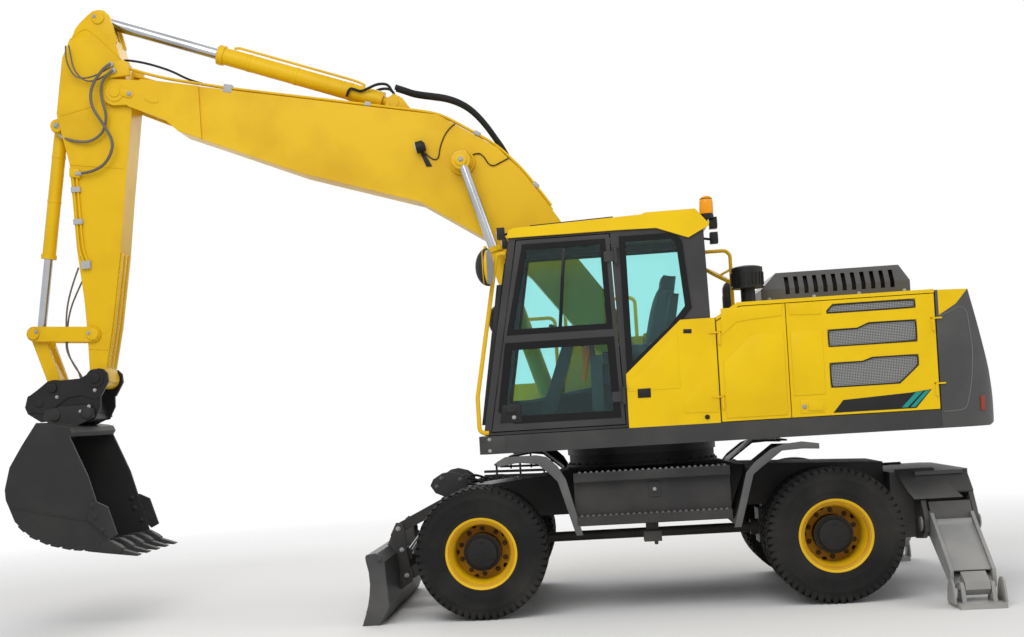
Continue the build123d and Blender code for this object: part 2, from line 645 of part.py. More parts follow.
# Turntable: the upper frame as a deep plate, the boss on the slewing ring and the boom brackets
chamfer_corner = 60.0
upper_plan = [
    (weight_x, -half_width), (upper_front_x - chamfer_corner, -half_width),
    (upper_front_x, -half_width + chamfer_corner), (upper_front_x, half_width - chamfer_corner),
    (upper_front_x - chamfer_corner, half_width), (weight_x, half_width),
]
bracket = [
    (-430, skirt_top_z - 20), (-420, 1560), (-80, 2040), (0, 2090), (120, 2095), (190, 2040),
    (230, 1900), (620, 1640), (670, 1695), (760, 1700), (812, 1640), (880, skirt_top_z - 20),
]
ram_lug_radius = 82.0
outer_lug = [(*boom_ram_foot, ram_lug_radius, 0), (boom_ram_foot[0] - 90, skirt_top_z + 10, 30, 0),
             (boom_ram_foot[0] + 90, skirt_top_z + 10, 30, 0)]
boom_pin_radius = 48.0
ram_pin_radius = 40.0
boom_ram = (64.0, 42.0, 36.0)
with BuildPart() as turntable:
    add(slab(upper_plan, skirt_bottom_z, skirt_top_z))
    with BuildSketch(level(slew_ring_top_z + seat)):
        Circle(slew_ring_radius - 10)
        Circle(slew_ring_radius - 120, mode=Mode.SUBTRACT)
    extrude(amount=skirt_bottom_z - slew_ring_top_z - seat + 5)
    add(both(plate(bracket, bracket_y[0], bracket_y[1])))
    add(both(link(outer_lug, boom_ram_y + boom_ram[2] + side_gap, boom_ram_y + boom_ram[2] + side_gap + 22)))
    add(bar(boom_foot, boom_pin_radius, -bracket_y[1] - 14, bracket_y[1] + 14))
    add(both(bar(boom_foot, 95, bracket_y[1] - 2, bracket_y[1] + 8)))
    add(both(bar(boom_ram_foot, ram_pin_radius, bracket_y[0], boom_ram_y + boom_ram[2] + side_gap + 26)))
save(turntable, "turntable")

# Counterweight: a cast block across the rear, with rounded rear corners and a yellow cap
weight_side = [
    (weight_x - seat, skirt_bottom_z), (weight_x - seat, 2366), (-2508, 2360), (-2659, 1743),
    (-2712, 1430), (-2690, 1330), (-2640, skirt_bottom_z),
]
cap_side = [(weight_x - 20, 2172), (-2410, 2252), (-2540, 2400), (-2600, 2450), (weight_x - 20, 2450)]
corner_radius = 320.0
corner_x = -2712.0 + corner_radius
corner_y = half_width - corner_radius
corner_z = (skirt_bottom_z - 10, 2400.0)
lift_hole_x = -2380.0
lift_hole_y = 620.0
lift_hole_radius = 21.0
lift_hole_depth = 90.0
with BuildPart() as rear_corners:
    add(both(block(corner_x - corner_radius - 10, corner_x, corner_y, half_width + 5, *corner_z)))
    for y in (corner_y, -corner_y):
        add(rod(spot(corner_x, y, corner_z[0] - 5), spot(corner_x, y, corner_z[1] + 5), corner_radius),
            mode=Mode.SUBTRACT)
with BuildPart() as whole_weight:
    add(plate(weight_side, -half_width, half_width))
    add(rear_corners.part, mode=Mode.SUBTRACT)
    with BuildSketch(level(2366 - lift_hole_depth)):
        with Locations((lift_hole_x, lift_hole_y), (lift_hole_x, -lift_hole_y)):
            Circle(lift_hole_radius)
    extrude(amount=lift_hole_depth + 10, mode=Mode.SUBTRACT)
with BuildPart() as cap_zone:
    add(plate(cap_side, -half_width - 10, half_width + 10))
with BuildPart() as counterweight:
    add(whole_weight.part)
    add(cap_zone.part, mode=Mode.SUBTRACT)
save(counterweight, "counterweight")
with BuildPart() as counterweight_cap:
    add(whole_weight.part)
    add(cap_zone.part, mode=Mode.INTERSECT)
save(counterweight_cap, "counterweight_cap")

# Engine: one plain block where the real one stands
with BuildPart() as engine_block:
    add(block(-2140, -1250, -420, 420, skirt_top_z + 60, 2180))
    for x in (-2040, -1350):
        add(block(x - 40, x + 40, -380, 380, skirt_top_z, skirt_top_z + 62))
save(engine_block, "engine_block")

# Housing behind the cab: bulkhead, posts, the deck with the hatch for the hood, and the panel
# beside the lower rear of the cab
panel_side = [(116, skirt_top_z + seat), (116, 1872), (-326, 2268), (-592, 2268), (-592, skirt_top_z + seat)]
house_front_x = -600.0
house_rear_x = weight_x + 6
inner_y = half_width - panel_thick - 8
hatch = (-2190.0, -1040.0, 830.0)
front_hinge_x = house_front_x - 18
rear_hinge_x = house_rear_x + 20
hinge_z = (1600.0, 2100.0)
hinge_pin = 5.0
top_line = [(house_front_x, 2270), (-770, deck_z + 8), (house_rear_x, deck_z + 8), (house_rear_x, deck_z - 20),
            (-785, deck_z - 20), (house_front_x, 2244)]
with BuildPart() as bodywork:
    add(plate(top_line, -half_width, half_width))
    add(block(hatch[0], hatch[1], -hatch[2], hatch[2], deck_z - 40, deck_z + 20), mode=Mode.SUBTRACT)
    add(block(house_front_x - 30, house_front_x, -inner_y, inner_y, skirt_top_z + seat, 2262))
    add(block(house_rear_x, house_rear_x + 24, -inner_y, inner_y, skirt_top_z + seat, deck_z - 10))
    for hand in (1, -1):
        add(block(-1175, -1095, min(hand * (inner_y - 60), hand * inner_y), max(hand * (inner_y - 60), hand * inner_y),
                  skirt_top_z + seat, deck_z - 10))
    add(plate(panel_side, half_width - 14, half_width))
    for hinge_x, reach_x in ((front_hinge_x, house_front_x + 60), (rear_hinge_x, weight_x - 40)):
        for hand in (1, -1):
            for z in hinge_z:
                low, high = sorted((hand * (half_width + seat), hand * (half_width + 14)))
                pin_y = hand * (half_width + 4)
                add(block(min(hinge_x - 8, reach_x), max(hinge_x + 8, reach_x), low, high, z + 46, z + 58))
                add(rod(spot(hinge_x, pin_y, z - 46), spot(hinge_x, pin_y, z + 50), hinge_pin))
save(bodywork, "bodywork")

# Side doors of the housing, each hinged at an outer corner
# (name, side, low x, high x, top z at low x, top z at high x)
door_bottom_z = skirt_top_z + panel_gap
side_doors = [
    ("door_left_front", 1, -1130.0, house_front_x - 2, deck_z - 26, 2236.0),
    ("door_left_rear", 1, house_rear_x + 4, -1136.0, deck_z - 26, deck_z - 26),
    ("door_right_front", -1, -1130.0, house_front_x - 2, deck_z - 26, 2236.0),
    ("door_right_rear", -1, house_rear_x + 4, -1136.0, deck_z - 26, deck_z - 26),
]
grille_front_x = -1440.0
grille_rear_x = -2112.0
grille_depth = 14.0
# Recess of each grille, as its corners (x, z)
grilles = [
    [(grille_front_x, 2238), (grille_front_x, 2262), (grille_front_x - 50, 2312), (grille_rear_x, 2312),
     (grille_rear_x, 2238)],
    [(grille_front_x, 1980), (grille_front_x, 2117), (grille_front_x - 225, 2117), (grille_front_x - 312, 2153),
     (grille_rear_x, 2153), (grille_rear_x, 1980)],
    [(grille_front_x, 1666), (grille_front_x, 1860), (grille_front_x - 250, 1860), (grille_front_x - 325, 1886),
     (grille_rear_x, 1886), (grille_rear_x, 1800), (grille_rear_x + 150, 1666)],
]
strap_room = 17.0
for name, hand, x_low, x_high, z_low_x, z_high_x in side_doors:
    face = half_width
    back = half_width - panel_thick
    outline = [(x_low, door_bottom_z), (x_high, door_bottom_z), (x_high, z_high_x)]
    if z_high_x < z_low_x:
        outline += [(x_high - 188, z_low_x)]
    outline += [(x_low, z_low_x)]
    with BuildPart() as door_part:
        add(plate(outline, min(hand * back, hand * face), max(hand * back, hand * face)))
        hinge_x = front_hinge_x if name.endswith("front") else rear_hinge_x
        for z in hinge_z:
            add(rod(spot(hinge_x, hand * (face + 4), z - 45), spot(hinge_x, hand * (face + 4), z + 45), 11))
            add(rod(spot(hinge_x, hand * (face + 4), z - 60), spot(hinge_x, hand * (face + 4), z + 60), hinge_pin + 0.5),
                mode=Mode.SUBTRACT)
            add(rod(spot(hinge_x, hand * (face + 4), z + 45), spot(hinge_x, hand * (face + 4), z + 59), strap_room),
                mode=Mode.SUBTRACT)
        if name.endswith("rear"):
            low, high = sorted((hand * (face - grille_depth), hand * (face + 2)))
            for grille in grilles:
                add(plate(grille, low, high), mode=Mode.SUBTRACT)
    save(door_part, name)

# Engine hood: a flat lid over the hatch, hinged in front, and its dark louvred cover
hood_lid = (-2235.0, -1000.0, 900.0)
hood_z = deck_z + 8 + seat
hood_hinge_x = hood_lid[1] + 4
lid_thick = 22.0
cover_half = 540.0
cover_top_half = 430.0
cover_low = (-2228.0, -1036.0)
cover_high = (-2165.0, -1175.0)
cover_top_z = 2645.0
slots = 12
slot_width = 34.0
with BuildPart() as engine_hood:
    add(block(hood_lid[0], hood_lid[1], -hood_lid[2], hood_lid[2], hood_z, hood_z + lid_thick))
    for y in (-560, 560):
        add(bar((hood_hinge_x, hood_z + lid_thick), 12, y - 50, y + 50))
save(engine_hood, "engine_hood")

cover_z = hood_z + lid_thick
wall = 14.0
with BuildPart() as hood_cover:
    for inset, mode in ((0.0, Mode.ADD), (wall, Mode.SUBTRACT)):
        with BuildSketch(level(cover_z - (10 if inset else 0))):
            Polygon((cover_low[0] + inset, -cover_half + inset), (cover_low[1] - inset, -cover_half + inset),
                    (cover_low[1] - inset, cover_half - inset), (cover_low[0] + inset, cover_half - inset), align=None)
        with BuildSketch(level(cover_z + 110)):
            Polygon((cover_low[0] + inset, -cover_half + inset), (cover_low[1] - inset, -cover_half + inset),
                    (cover_low[1] - inset, cover_half - inset), (cover_low[0] + inset, cover_half - inset), align=None)
        loft(mode=mode)
        with BuildSketch(level(cover_z + 110)):
            Polygon((cover_low[0] + inset, -cover_half + inset), (cover_low[1] - inset, -cover_half + inset),
                    (cover_low[1] - inset, cover_half - inset), (cover_low[0] + inset, cover_half - inset), align=None)
        with BuildSketch(level(cover_top_z - inset)):
            Polygon((cover_high[0] + inset, -cover_top_half + inset), (cover_high[1] - inset, -cover_top_half + inset),
                    (cover_high[1] - inset, cover_top_half - inset), (cover_high[0] + inset, cover_top_half - inset),
                    align=None)
        loft(mode=mode)
    slot_step = (cover_high[0] - cover_high[1]) / (slots + 1)
    for number in range(slots):
        x = cover_high[1] + (number + 1) * slot_step
        for hand in (1, -1):
            low = min(hand * (cover_top_half - 30), hand * (cover_half + 20))
            high = max(hand * (cover_top_half - 30), hand * (cover_half + 20))
            add(block(x - slot_width / 2, x + slot_width / 2, low, high, cover_z + 60, cover_top_z - 40),
                mode=Mode.SUBTRACT)
save(hood_cover, "hood_cover")

# Air intake with its round pre-cleaner on the left, and the exhaust tail pipe on the right
with BuildPart() as air_intake:
    add(rod(spot(-912, 720, deck_z + 8), spot(-912, 720, 2520), 58))
    add(rod(spot(-912, 720, 2512), spot(-912, 720, 2524), 132))
    add(rod(spot(-912, 720, 2522), spot(-912, 720, 2680), 126))
    add(rod(spot(-880, -720, deck_z + 8), spot(-880, -720, 2560), 50, 42))
    add(pipe([spot(-880, -720, 2558), spot(-880, -720, 2640), spot(-980, -720, 2700)], 46, 50))
save(air_intake, "air_intake")

# Right side in front of the housing: tool box with a step, fuel tank and oil tank
tank_inner_y = -cab_y[0]
# (low x, high x, top z)
tanks = [(640.0, 1285.0, 1880.0), (-90.0, 632.0, 2240.0), (-592.0, -98.0, 2262.0)]
with BuildPart() as right_tanks:
    for x_low, x_high, z_top in tanks:
        with BuildSketch(level(skirt_top_z + seat)):
            with Locations(((x_low + x_high) / 2, (tank_inner_y - half_width) / 2)):
                RectangleRounded(x_high - x_low, half_width + tank_inner_y, 30)
        extrude(amount=z_top - skirt_top_z - seat)
save(right_tanks, "right_tanks")

# Cab shell: floor, walls, posts and top of sheet steel with its windows and doorway cut out
front_low = (1250.0, 1500.0)
front_high = (968.0, cab_top_z)
cab_rear_x = (-560.0, -548.0)
cab_bend_z = 2300.0
cab_side = [
    (cab_rear_x[0], cab_floor_z), (1250, cab_floor_z), front_low, front_high,
    (cab_rear_x[1], cab_top_z), (cab_rear_x[0], cab_bend_z),
]
cab_inner = [
    (cab_rear_x[0] + cab_wall, cab_floor_z + cab_wall), (1250 - cab_wall, cab_floor_z + cab_wall),
    (front_low[0] - cab_wall, front_low[1] + 10), (front_high[0] - cab_wall, cab_top_z - cab_wall),
    (cab_rear_x[1] + cab_wall, cab_top_z - cab_wall), (cab_rear_x[0] + cab_wall, cab_bend_z),
]
door_side = [(1191.0, 1484.0), (909.0, 2975.0), (182.0, 2975.0), (142.0, 1484.0)]
doorway = [(1199, 1476), (916, 2983), (174, 2983), (134, 1476)]
quarter_window = [(84, 2925), (-300, 2925), (-352, 2866), (-392, 2375), (-260, 2225), (84, 1910)]
right_window = [(1090, 1700), (870, 2900), (-420, 2900), (-480, 1900), (900, 1700)]
front_window_z = (1640.0, 2900.0)
front_window_y = (530.0, 1128.0)
rear_window_z = (2330.0, 2860.0)
with BuildPart() as cab_shell:
    add(plate(cab_side, cab_y[0], cab_y[1]))
    add(plate(cab_inner, cab_y[0] + cab_wall, cab_y[1] - cab_wall), mode=Mode.SUBTRACT)
    add(plate(doorway, cab_y[1] - cab_wall - 10, cab_y[1] + 10), mode=Mode.SUBTRACT)
    add(plate(quarter_window, cab_y[1] - cab_wall - 10, cab_y[1] + 10), mode=Mode.SUBTRACT)
    add(plate(right_window, cab_y[0] - 10, cab_y[0] + cab_wall + 10), mode=Mode.SUBTRACT)
    add(block(860, 1300, front_window_y[0], front_window_y[1], front_window_z[0], front_window_z[1]),
        mode=Mode.SUBTRACT)
    add(block(-600, -480, front_window_y[0], front_window_y[1], rear_window_z[0], rear_window_z[1]),
        mode=Mode.SUBTRACT)
    for z in door_hinge_z:
        add(block(118, 134, cab_y[1] - 8, door_hinge[1] - 8, z + 62, z + 74))
        add(block(118, door_hinge[0] + 14, door_hinge[1] - 16, door_hinge[1] + 12, z + 62, z + 74))
        add(rod(spot(*door_hinge, z - 62), spot(*door_hinge, z + 64), 6))
save(cab_shell, "cab_shell")

# Cab glass: panes bonded outside the shell, a little larger than their windows
glass = 6.0
lap = 26.0
slope = atan2(front_low[0] - front_high[0], front_high[1] - front_low[1])
across = (cos(slope), sin(slope))


def front_face(z, off):
    """Point of the sloping front at height z, so far in front of it."""
    share = (z - front_low[1]) / (front_high[1] - front_low[1])
    x = front_low[0] + (front_high[0] - front_low[0]) * share
    return (x + off * across[0], z + off * across[1])


def rear_face(z):
    """X of the cab's rear face at height z, above its bend."""
    return cab_rear_x[0] + (cab_rear_x[1] - cab_rear_x[0]) * (z - cab_bend_z) / (cab_top_z - cab_bend_z)


with BuildPart() as cab_glass:
    low, high = front_window_z[0] - lap, front_window_z[1] + lap
    pane = [front_face(low, seat), front_face(low, seat + glass),
            front_face(high, seat + glass), front_face(high, seat)]
    add(plate(pane, front_window_y[0] - lap, front_window_y[1] + lap))
    quarter_pane = [(106, 2950), (-320, 2950), (-378, 2880), (-420, 2360), (-280, 2195), (106, 1860)]
    add(plate(quarter_pane, cab_y[1] + seat, cab_y[1] + seat + glass))
    right_pane = [(1112, 1676), (890, 2925), (-444, 2925), (-506, 1876), (900, 1676)]
    add(plate(right_pane, cab_y[0] - seat - glass, cab_y[0] - seat))
    rear_low, rear_high = rear_window_z[0] - lap, rear_window_z[1] + lap
    rear_pane = [(rear_face(rear_low) - seat, rear_low), (rear_face(rear_high) - seat, rear_high),
                 (rear_face(rear_high) - seat - glass, rear_high), (rear_face(rear_low) - seat - glass, rear_low)]
    add(plate(rear_pane, front_window_y[0] - lap, front_window_y[1] + lap))
save(cab_glass, "cab_glass")

# Cab roof with its turned-down rear corners
roof_side = [(986, cab_top_z + seat), (966, 3060), (930, 3075), (-74, 3109), (-107, 3122), (-493, 3124),
             (-592, cab_top_z + seat)]
roof_flap = [(-592, cab_top_z + 20), (-592, 2987), (-428, 2903), (-185, 2995), (88, cab_top_z), (120, cab_top_z + 20)]
with BuildPart() as cab_roof:
    add(plate(roof_side, cab_y[0] - 6, cab_y[1] + 22))
    add(plate(roof_flap, cab_y[1] + 8, cab_y[1] + 22))
    add(plate(roof_flap, cab_y[0] - 6 - 14, cab_y[0] - 6 - 4))
    add(block(-560, -440, cab_y[0] - 20, cab_y[0] - 4, cab_top_z + 20, cab_top_z + 60))
save(cab_roof, "cab_roof")

# Cab door: a frame with an upper and a lower window, glass seated in rebates from inside
upper_window = [(1000, 2256), (842, 2920), (240, 2920), (222, 2256)]
lower_window = [(1100, 1620), (1020, 2150), (214, 2150), (196, 1560), (1000, 1560)]
door_back_y = door_face_y - door_thick


def grown(outline, amount):
    """Outline moved outwards by an amount, about its own middle."""
    middle_x = sum(x for x, z in outline) / len(outline)
    middle_z = sum(z for x, z in outline) / len(outline)
    moved = []
    for x, z in outline:
        moved.append((x + (amount if x > middle_x else -amount), z + (amount if z > middle_z else -amount)))
    return moved


with BuildPart() as cab_door:
    add(plate(door_side, door_back_y, door_face_y))
    for window in (upper_window, lower_window):
        add(plate(window, door_back_y - 5, door_face_y + 5), mode=Mode.SUBTRACT)
        add(plate(grown(window, 14), door_back_y - 5, door_face_y - 14), mode=Mode.SUBTRACT)
    for z in door_hinge_z:
        add(rod(spot(*door_hinge, z - 60), spot(*door_hinge, z + 60), 13))
        add(block(door_hinge[0], door_hinge[0] + 90, door_face_y - 2, door_face_y + 12, z - 40, z + 40))
        add(block(door_hinge[0] - 4, door_hinge[0] + 18, door_face_y + 8, door_hinge[1], z - 40, z + 40))
        add(rod(spot(*door_hinge, z - 70), spot(*door_hinge, z + 70), 6.5), mode=Mode.SUBTRACT)
    add(pipe([spot(900, door_back_y + 2, 2240), spot(900, door_back_y - 60, 2240),
              spot(420, door_back_y - 60, 2240), spot(420, door_back_y + 2, 2240)], 12, 30))
save(cab_door, "cab_door")

with BuildPart() as cab_door_glass:
    for window in (upper_window, lower_window):
        add(plate(grown(window, 13), door_face_y - 14 - seat - glass, door_face_y - 14 - seat))
save(cab_door_glass, "cab_door_glass")

# Inside the cab: seat on its box, and the steering column with the control stands
seat_x = 60.0
seat_y = 830.0
floor_z = cab_floor_z + cab_wall
column_foot = (760.0, floor_z + seat)
column_head = (560.0, floor_z + 640)
wheel_plane = Plane(origin=spot(540, seat_y, floor_z + 710), z_dir=(-0.55, 0, 0.83))
with BuildPart() as cab_interior:
    add(block(seat_x - 220, seat_x + 240, seat_y - 220, seat_y + 220, floor_z + seat, floor_z + 300))
    add(block(seat_x - 240, seat_x + 280, seat_y - 250, seat_y + 250, floor_z + 298, floor_z + 430))
    back_rest = [(seat_x - 170, floor_z + 428), (seat_x - 300, floor_z + 1000), (seat_x - 400, floor_z + 985),
                 (seat_x - 290, floor_z + 360), (seat_x - 200, floor_z + 330)]
    add(plate(back_rest, seat_y - 240, seat_y + 240))
    for hand in (1, -1):
        y = seat_y + hand * 290
        add(block(seat_x - 200, seat_x + 230, y - 50, y + 50, floor_z + 470, floor_z + 560))
        add(block(seat_x - 200, seat_x - 120, min(seat_y + hand * 230, y + hand * 30),
                  max(seat_y + hand * 230, y + hand * 30), floor_z + 400, floor_z + 480))
    add(link([(column_foot[0], column_foot[1] + 70, 60, 0), (column_head[0], column_head[1], 45, 0)],
             seat_y - 60, seat_y + 60))
    add(block(column_foot[0] - 90, column_foot[0] + 90, seat_y - 90, seat_y + 90, floor_z + seat, floor_z + 60))
    with Locations(wheel_plane):
        Torus(180, 16)
    with BuildSketch(wheel_plane):
        Rectangle(350, 40)
        Rectangle(40, 350)
    extrude(amount=10, both=True)
    add(rod(spot(column_head[0], seat_y, column_head[1]), spot(540, seat_y, floor_z + 710), 30))
    for hand in (1, -1):
        y = seat_y + hand * 290
        add(block(seat_x + 236, seat_x + 330, y - 40, y + 40, floor_z + seat, floor_z + 540))
        add(rod(spot(seat_x + 300, y, floor_z + 530), spot(seat_x + 320, y, floor_z + 700), 18))
save(cab_interior, "cab_interior")


# Handrails: at the cab's front corner, behind the cab, and on the tank of the right side
rail_radius = 17.0
rail_y = 470.0
rail_side_y = cab_y[1] + rail_radius + seat
tank_rail_y = 70.0 - half_width
left_mirror_y = rail_side_y + 155
right_mirror_y = tank_rail_y - 150
with BuildPart() as handrails:
    add(pipe([spot(1215, rail_side_y, 1478), spot(1288, rail_side_y, 1478), spot(1288, rail_side_y, 1760),
              spot(1070, rail_side_y, 2880), spot(1000, rail_side_y, 2880)], rail_radius, 45))
    add(pipe([spot(rear_face(2856) - 1, rail_y, 2856), spot(-811, rail_y, 2856), spot(-811, rail_y, deck_z + 8 + seat)],
             15, 60))
    add(pipe([spot(600, tank_rail_y, tanks[1][2]), spot(600, tank_rail_y, 2640), spot(-60, tank_rail_y, 2640),
              spot(-60, tank_rail_y, tanks[1][2])],
             rail_radius, 60))
    add(pipe([spot(1240, tank_rail_y, tanks[0][2]), spot(1240, tank_rail_y, 2500), spot(700, tank_rail_y, 2500),
              spot(700, tank_rail_y, tanks[0][2])],
             rail_radius, 60))
    # Mirror heads: (x, y, z, points of the stem)
    left_stem = [(1110, rail_side_y, 2700), (1140, rail_side_y + 55, 2900), (1150, left_mirror_y, 2940)]
    right_stem = [(1240, tank_rail_y, 2478), (1250, tank_rail_y - 80, 2660), (1258, right_mirror_y, 2690)]
    for x, y, z, stem in ((1155, left_mirror_y, 2768, left_stem), (1262, right_mirror_y, 2520, right_stem)):
        with BuildSketch(Plane(origin=spot(x - 18, y, z), x_dir=(0, 1, 0), z_dir=(1, 0, 0))):
            Ellipse(85, 138)
        extrude(amount=36)
        add(pipe([spot(*stem[0]), spot(*stem[1]), spot(*stem[2]), spot(x, y, z + 120)], 10, 25))
    with BuildSketch(Plane(origin=spot(-700, rail_y, 2640), z_dir=(-0.5, 0.2, 0.84))):
        Ellipse(120, 80)
    extrude(amount=26)
    add(rod(spot(-700, rail_y, 2645), spot(-811, rail_y, 2700), 10))
save(handrails, "handrails")

# Lamps and the round beacon on the roof's rear edge
with BuildPart() as roof_lamps:
    shelf = [(-545, cab_top_z + 60), (-529, cab_top_z + 80), (-610, cab_top_z + 80), (-610, cab_top_z + 60)]
    add(plate(shelf, 860, 940))
    add(rod(spot(-606, 900, cab_top_z + 78), spot(-606, 900, cab_top_z + 110), 55))
    add(rod(spot(-606, 900, cab_top_z + 108), spot(-606, 900, cab_top_z + 240), 50))
save(roof_lamps, "roof_lamps")

# Boom: a bent box beam, forked at its end round the arm
boom_side = [
    (4168, 4755), (1564, 4231), (1068, 3908), (828, 3633), (571, 3246), (440, 2910), (190, 2560), (-30, 2050),
    (-15, 1900), (80, 1880), (170, 1930), (600, 2450), (850, 2780), (1226, 3141), (1757, 3490), (2785, 3820),
    (3855, 4271), (3966, 4377), (4300, 4530),
]
fork_start_x = 3900.0
fork_side = [(4168, 4755), (3650, 4651), (3650, 4186), (3855, 4271), (3966, 4377), (4300, 4530)]
arm_pin_radius = 45.0
foot_half = bracket_y[0] - 8
arm_ram = (76.0, 50.0, 46.0)
with BuildPart() as boom:
    add(plate(boom_side, -boom_half, boom_half))
    gap_zone = [(fork_start_x, 4100), (4700, 4100), (4700, 5100), (fork_start_x, 5100)]
    add(plate(gap_zone, -boom_half - 5, boom_half + 5), mode=Mode.SUBTRACT)
    add(both(plate(fork_side, fork_y[0], fork_y[1])))
    add(both(link([(*arm_pivot, 115, 0), (4200, 4640, 105, 0)], fork_y[0], fork_y[1])))
    add(bar(arm_pivot, arm_pin_radius, -fork_y[1] - 16, fork_y[1] + 16))
    add(both(bar(arm_pivot, 82, fork_y[1] - 2, fork_y[1] + 8)))
    add(bar(boom_foot, 105, -foot_half, foot_half))
    add(bar(boom_ram_eye, 100, -boom_half - 26, boom_half + 26))
    ram_lug = [(arm_ram_foot[0] - 190, arm_ram_foot[1] - 140), (arm_ram_foot[0] - 75, arm_ram_foot[1] + 30),
               (arm_ram_foot[0], arm_ram_foot[1] + 78), (arm_ram_foot[0] + 62, arm_ram_foot[1] + 40),
               (arm_ram_foot[0] + 84, arm_ram_foot[1] - 30), (arm_ram_foot[0] + 110, arm_ram_foot[1] - 95)]
    for y_low in (arm_ram[2] + side_gap, -arm_ram[2] - side_gap - 34):
        add(plate(ram_lug, y_low, y_low + 34))
    add(bar(arm_ram_foot, 40, -arm_ram[2] - side_gap - 40, arm_ram[2] + side_gap + 40))
    add(bar(boom_foot, boom_pin_radius + pin_fit, -bracket_y[1], bracket_y[1]), mode=Mode.SUBTRACT)
save(boom, "boom")

# Boom cylinders, one each side of the boom
boom_eye_y = (boom_half + 26 + side_gap, 0)
with BuildPart() as boom_barrels:
    add(both(ram_barrel(boom_ram_foot, boom_ram_eye, boom_ram_y, 1480, boom_ram, 330, ram_pin_radius + pin_fit)))
save(boom_barrels, "boom_barrels")
with BuildPart() as boom_rods:
    add(both(ram_rod(boom_ram_foot, boom_ram_eye, boom_ram_y, 1260, boom_ram, 78, 0)))
    add(both(bar(boom_ram_eye, 50, boom_ram_y - boom_ram[2], boom_ram_y + boom_ram[2] + 14)))
save(boom_rods, "boom_rods")

# Arm cylinder above the boom
with BuildPart() as arm_barrel:
    add(ram_barrel(arm_ram_foot, arm_ram_eye, 0, 1648, arm_ram, 280, 40 + pin_fit))
save(arm_barrel, "arm_barrel")
with BuildPart() as arm_rod:
    add(ram_rod(arm_ram_foot, arm_ram_eye, 0, 1640, arm_ram, 80, 0))
save(arm_rod, "arm_rod")

# Arm: a box beam with a slotted head for the cylinder's rod and lugs for the bucket cylinder
arm_side = [
    (4490, 5405), (4575, 5415), (4740, 5290), (4879, 5012), (4960, 4520), (4930, 4360), (4870, 4070), (4850, 3310),
    (4810, 2860), (4800, 2560), (4800, 2190), (4660, 2190), (4570, 2600), (4450, 3290), (4390, 3730), (4270, 4520),
    (4280, 4660), (4420, 5250),
]
slot_half = arm_ram[2] + side_gap + 3
bucket_ram = (60.0, 40.0, 64.0)
arm_pins = 36.0
with BuildPart() as arm:
    add(plate(arm_side, -arm_half, arm_half))
    slot_zone = [(4300, 5130), (4700, 5180), (4800, 5600), (4200, 5600)]
    add(plate(slot_zone, -slot_half, slot_half), mode=Mode.SUBTRACT)
    for y_low, y_high in ((slot_half + 34, arm_half + 5), (-arm_half - 5, -slot_half - 34)):
        add(plate([(4200, 5180), (4900, 5180), (4900, 5600), (4200, 5600)], y_low, y_high), mode=Mode.SUBTRACT)
    for y_low, y_high in ((slot_half, slot_half + 48), (-slot_half - 48, -slot_half)):
        add(bar(arm_ram_eye, 44, y_low, y_high))
    add(bar(nose_pin, 92, -coupler_y[0] + side_gap, coupler_y[0] - side_gap))
    foot_lug = [(4850, 4560), (bucket_ram_foot[0] - 10, bucket_ram_foot[1] + 75),
                (bucket_ram_foot[0] + 60, bucket_ram_foot[1] + 40), (bucket_ram_foot[0] + 62, bucket_ram_foot[1] - 30),
                (4860, 4230)]
    for y_low in (bucket_ram[2] + side_gap, -bucket_ram[2] - side_gap - 30):
        add(plate(foot_lug, y_low, y_low + 30))
    ram_slot = [(4900, 4150), (5100, 4150), (5100, 4700), (4900, 4560)]
    add(plate(ram_slot, -bucket_ram[2] - side_gap, bucket_ram[2] + side_gap), mode=Mode.SUBTRACT)
    add(bar(bucket_ram_foot, 32, -bucket_ram[2] - side_gap - 36, bucket_ram[2] + side_gap + 36))
    add(bar(guide_pin, arm_pins, -guide_y[1] - 10, guide_y[1] + 10))
    add(bar(nose_pin, arm_pins, -coupler_y[1] - 12, coupler_y[1] + 12))
    add(bar(arm_pivot, arm_pin_radius + pin_fit, -arm_half - 10, arm_half + 10), mode=Mode.SUBTRACT)
save(arm, "arm")

# Bucket cylinder along the arm's front, and the links that turn the bucket
with BuildPart() as bucket_barrel:
    add(ram_barrel(bucket_ram_foot, rod_pin, 0, 1180, bucket_ram, 210, 32 + pin_fit))
save(bucket_barrel, "bucket_barrel")
rod_pin_radius = 34.0
with BuildPart() as bucket_rod:
    add(ram_rod(bucket_ram_foot, rod_pin, 0, 1150, bucket_ram, 62, 0))
save(bucket_rod, "bucket_rod")

h_side_y = (bucket_ram[2] + side_gap, bucket_ram[2] + side_gap + 44)
with BuildPart() as guide_links:
    add(both(link([(*guide_pin, 66, arm_pins + pin_fit), (*rod_pin, 66, 0)], guide_y[0], guide_y[1])))
    add(both(bar(rod_pin, rod_pin_radius, h_side_y[0] - 2, guide_y[1] + 12)))
save(guide_links, "guide_links")

with BuildPart() as h_link:
    add(both(link([(*rod_pin, 62, rod_pin_radius + pin_fit), (*coupler_pin, 58, 0)], h_side_y[0], h_side_y[1])))
    middle = along(rod_pin, coupler_pin, 300)
    low = along(rod_pin, coupler_pin, 440)
    add(link([(*middle, 40, 0), (*low, 48, 0)], -h_side_y[1], h_side_y[1]))
    add(bar(coupler_pin, 58, -coupler_y[0] + side_gap + 30, coupler_y[0] - side_gap - 30))
save(h_link, "h_link")

